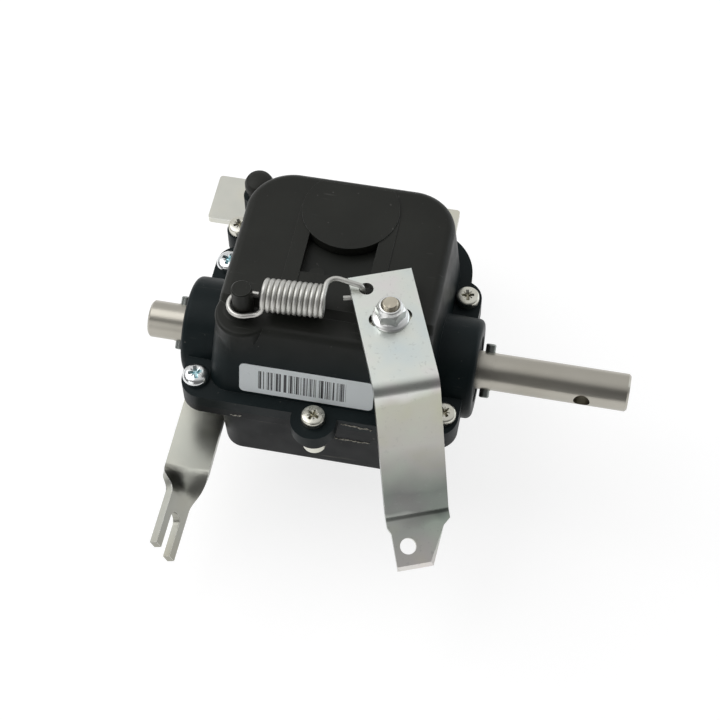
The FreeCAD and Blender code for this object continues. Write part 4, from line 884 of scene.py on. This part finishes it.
spindle = {
    "place": (26.0, -15.8), "foot": -20.0, "footRadius": 3.4, "footEdge": 0.5, "step": 20.0, "stepRise": 1.0,
    "radius": 5.0, "shoulder": 45.9, "studRadius": 3.0, "studRoot": 2.45, "studTop": 58.7, "pitch": 1.0,
    "flank": 1.35, "rootFlat": 0.1, "tipStep": 0.1, "tipSlope": 0.9,
    "sides": 40, "levelsPerTurn": 10, "sharpAngle": 40,
}


def threadRadius(look, height, share):
    # share is how far round the stud, from 0 to 1
    phase = (height / look["pitch"] - share) % 1.0
    crest = min(1.0, max(0.0, look["flank"] * (1 - abs(2 * phase - 1)) - look["rootFlat"]))
    radius = look["studRoot"] + (look["studRadius"] - look["studRoot"]) * crest
    return min(radius, look["studRoot"] + look["tipStep"] + (look["studTop"] - height) * look["tipSlope"])


def threadedSpindle(look):
    foot, footRadius, footEdge = look["foot"], look["footRadius"], look["footEdge"]
    plain = [(0, foot), (footRadius - footEdge, foot), (footRadius, foot + footEdge),
             (footRadius, look["step"]), (look["radius"], look["step"] + look["stepRise"]),
             (look["radius"], look["shoulder"])]
    sides = look["sides"]
    tall = look["studTop"] - look["shoulder"]
    levels = int(tall / look["pitch"] * look["levelsPerTurn"])
    shape = bmesh.new()
    rings = evenRings(shape, plain, sides)
    for level in range(levels + 1):
        height = look["shoulder"] + tall * level / levels
        rings.append(addRing(shape, [threadRadius(look, height, k / sides) for k in range(sides)], height))
    rings.append(addRing(shape, [0], look["studTop"]))
    skin(shape, rings)
    mesh = meshOf(shape, "leverSpindleStud")
    mesh.transform(Matrix.Translation(Vector((*look["place"], 0)) * mm))
    mesh.materials.append(finishes["studZinc"])
    smoothByAngle(mesh, look["sharpAngle"])
    return addObject("leverSpindleStud", mesh)


settle(threadedSpindle(spindle), "clutch_lever", "zinc_dull", "lever_spindle")
print("lever spindle made")


# flange nut with a rounded locking collar: outlines of (radius, height) above its seat

flangeNut = {
    "place": (26.0, -15.8, 49.0), "acrossFlats": 10.0, "hexFoot": 0.8, "height": 8.2, "turn": 1.5,
    "sides": 96, "sharpAngle": 30,
    "flange": [(6.9, 0.0), (7.1, 0.2), (7.1, 0.6), (6.9, 0.9), (6.4, 1.2), (5.8, 1.55), (5.3, 1.95),
               (4.0, 2.3)],
    "collar": [(5.9, 0.5), (5.9, 5.4), (5.6, 5.8), (5.25, 6.15), (4.95, 6.5), (4.75, 6.9), (4.62, 7.3),
               (4.5, 7.65), (4.25, 8.0), (3.9, 8.2)],
    "bore": [(3.05, -0.5), (3.05, 7.2), (3.2, 7.6), (3.55, 8.1), (4.0, 8.6)],
}


def turned(name, profile, sides):
    return lathe(name, [(0, profile[0][1])] + profile + [(0, profile[-1][1])], sides)


def makeFlangeNut(look):
    corner = look["acrossFlats"] / 2 / math.cos(math.pi / 6)
    prism = turned("nutHexagon", [(corner, look["hexFoot"]), (corner, look["height"])], 6)
    tools = [("INTERSECT", "collar"), ("UNION", "flange"), ("DIFFERENCE", "bore")]
    steps = [(operation, turned(part, look[part], look["sides"])) for operation, part in tools]
    mesh = carved("flangeNutBody", prism, steps)
    turn = Matrix.Rotation(math.radians(look["turn"]), 4, "Z")
    mesh.transform(Matrix.Translation(Vector(look["place"]) * mm) @ turn)
    mesh.materials.clear()
    mesh.materials.append(finishes["nutZinc"])
    smoothByAngle(mesh, look["sharpAngle"])
    return addObject("flangeNutBody", mesh)


settle(makeFlangeNut(flangeNut), "clutch_lever", "zinc_bright", "flange_nut")
print("flange nut made")


# floor, light and camera, in metres

studio = {
    "floorGap": 0.001, "floorSize": 6.0, "floorColour": (0.36, 0.36, 0.36), "floorRough": 0.9,
    "floorGlow": 0.74,
    "skyLift": 0.6, "skyDepth": 0.8,
    "skyStops": [(0.10, 0.20), (0.34, 0.14), (0.58, 0.15), (0.70, 0.54), (0.80, 0.68), (0.97, 0.76)],
    "lamps": {
        "keySoftbox": {"place": (-0.55, 0.05, 0.75), "size": (0.8, 0.8), "power": 3.8, "colour": (1, 1, 1)},
        "fillSoftbox": {"place": (-0.45, -0.75, 0.32), "size": (0.6, 0.6), "power": 1.3, "colour": (1, 1, 1)},
        "rimSoftbox": {"place": (0.62, 0.43, 0.12), "size": (0.5, 0.24), "power": 0.55,
                       "colour": (0.84, 0.93, 1.0)}},
    "lens": 90.6, "sensorWidth": 36.0, "nearest": 0.01, "farthest": 20.0,
    "cameraPlace": (0.0976, -0.3999, 0.6005), "cameraRight": (0.981, 0.195, -0.012),
    "cameraUp": (-0.155, 0.815, 0.559), "cameraBack": (0.119, -0.546, 0.829),
}


def makeFloor(look):
    half = look["floorSize"] / 2
    height = cadBox[0][2] - look["floorGap"]
    corners = [(-half, -half, height), (half, -half, height), (half, half, height), (-half, half, height)]
    mesh = bpy.data.meshes.new("studioFloor")
    mesh.from_pydata(corners, [], [(0, 1, 2, 3)])
    mat, tree, shader = startMaterial("floorPaper")[:3]
    shader.inputs["Base Color"].default_value = (*look["floorColour"], 1)
    shader.inputs["Roughness"].default_value = look["floorRough"]
    glow = tree.nodes.new("ShaderNodeEmission")
    rays = tree.nodes.new("ShaderNodeLightPath")
    seen = combine(tree, rays.outputs["Is Camera Ray"], rays.outputs["Is Glossy Ray"], "MAXIMUM")
    seen = combine(tree, seen, rays.outputs["Is Transmission Ray"], "MAXIMUM")
    tree.links.new(combine(tree, seen, look["floorGlow"]), glow.inputs["Strength"])
    total = tree.nodes.new("ShaderNodeAddShader")
    tree.links.new(shader.outputs[0], total.inputs[0])
    tree.links.new(glow.outputs[0], total.inputs[1])
    tree.links.new(total.outputs[0], tree.nodes["Material Output"].inputs["Surface"])
    mesh.materials.append(mat)
    addObject("studioFloor", mesh)


def makeWorld(look):
    # bright above and behind the object, darker on the camera's side
    world = bpy.data.worlds.new("studioWorld")
    scene.world = world
    world.use_nodes = True
    tree = world.node_tree
    place = axes(tree, tree.nodes.new("ShaderNodeTexCoord").outputs["Generated"])
    lift = combine(tree, place["Z"], look["skyLift"])
    depth = combine(tree, place["Y"], look["skyDepth"])
    share = span(tree, combine(tree, lift, depth, "ADD"), 0, 1, -1.0, 1.0)
    sky = ramp(tree, share, [(stop, (tone, tone, tone)) for stop, tone in look["skyStops"]])
    tree.links.new(sky, tree.nodes["Background"].inputs["Color"])
    tree.nodes["Background"].inputs["Strength"].default_value = 1.0


def makeLamp(name, look):
    # every lamp points at the frame's origin
    data = bpy.data.lights.new(name, "AREA")
    data.shape = "RECTANGLE"
    data.size, data.size_y = look["size"]
    data.energy = look["power"]
    data.color = look["colour"]
    lamp = addObject(name, data)
    lamp.location = look["place"]
    lamp.rotation_mode = "QUATERNION"
    lamp.rotation_quaternion = (-Vector(look["place"])).to_track_quat("-Z", "Y")


def makeCamera(look):
    data = bpy.data.cameras.new("photoCamera")
    data.lens = look["lens"]
    data.sensor_width = look["sensorWidth"]
    data.clip_start, data.clip_end = look["nearest"], look["farthest"]
    camera = addObject("photoCamera", data)
    turn = Matrix((look["cameraRight"], look["cameraUp"], look["cameraBack"])).transposed()
    square = turn.to_4x4().to_quaternion().to_matrix().to_4x4()
    camera.matrix_world = Matrix.Translation(look["cameraPlace"]) @ square
    scene.camera = camera


makeFloor(studio)
makeWorld(studio)
for name, lamp in studio["lamps"].items():
    makeLamp(name, lamp)
makeCamera(studio)
scene.view_settings.view_transform = "Standard"
print("floor, light and camera set")
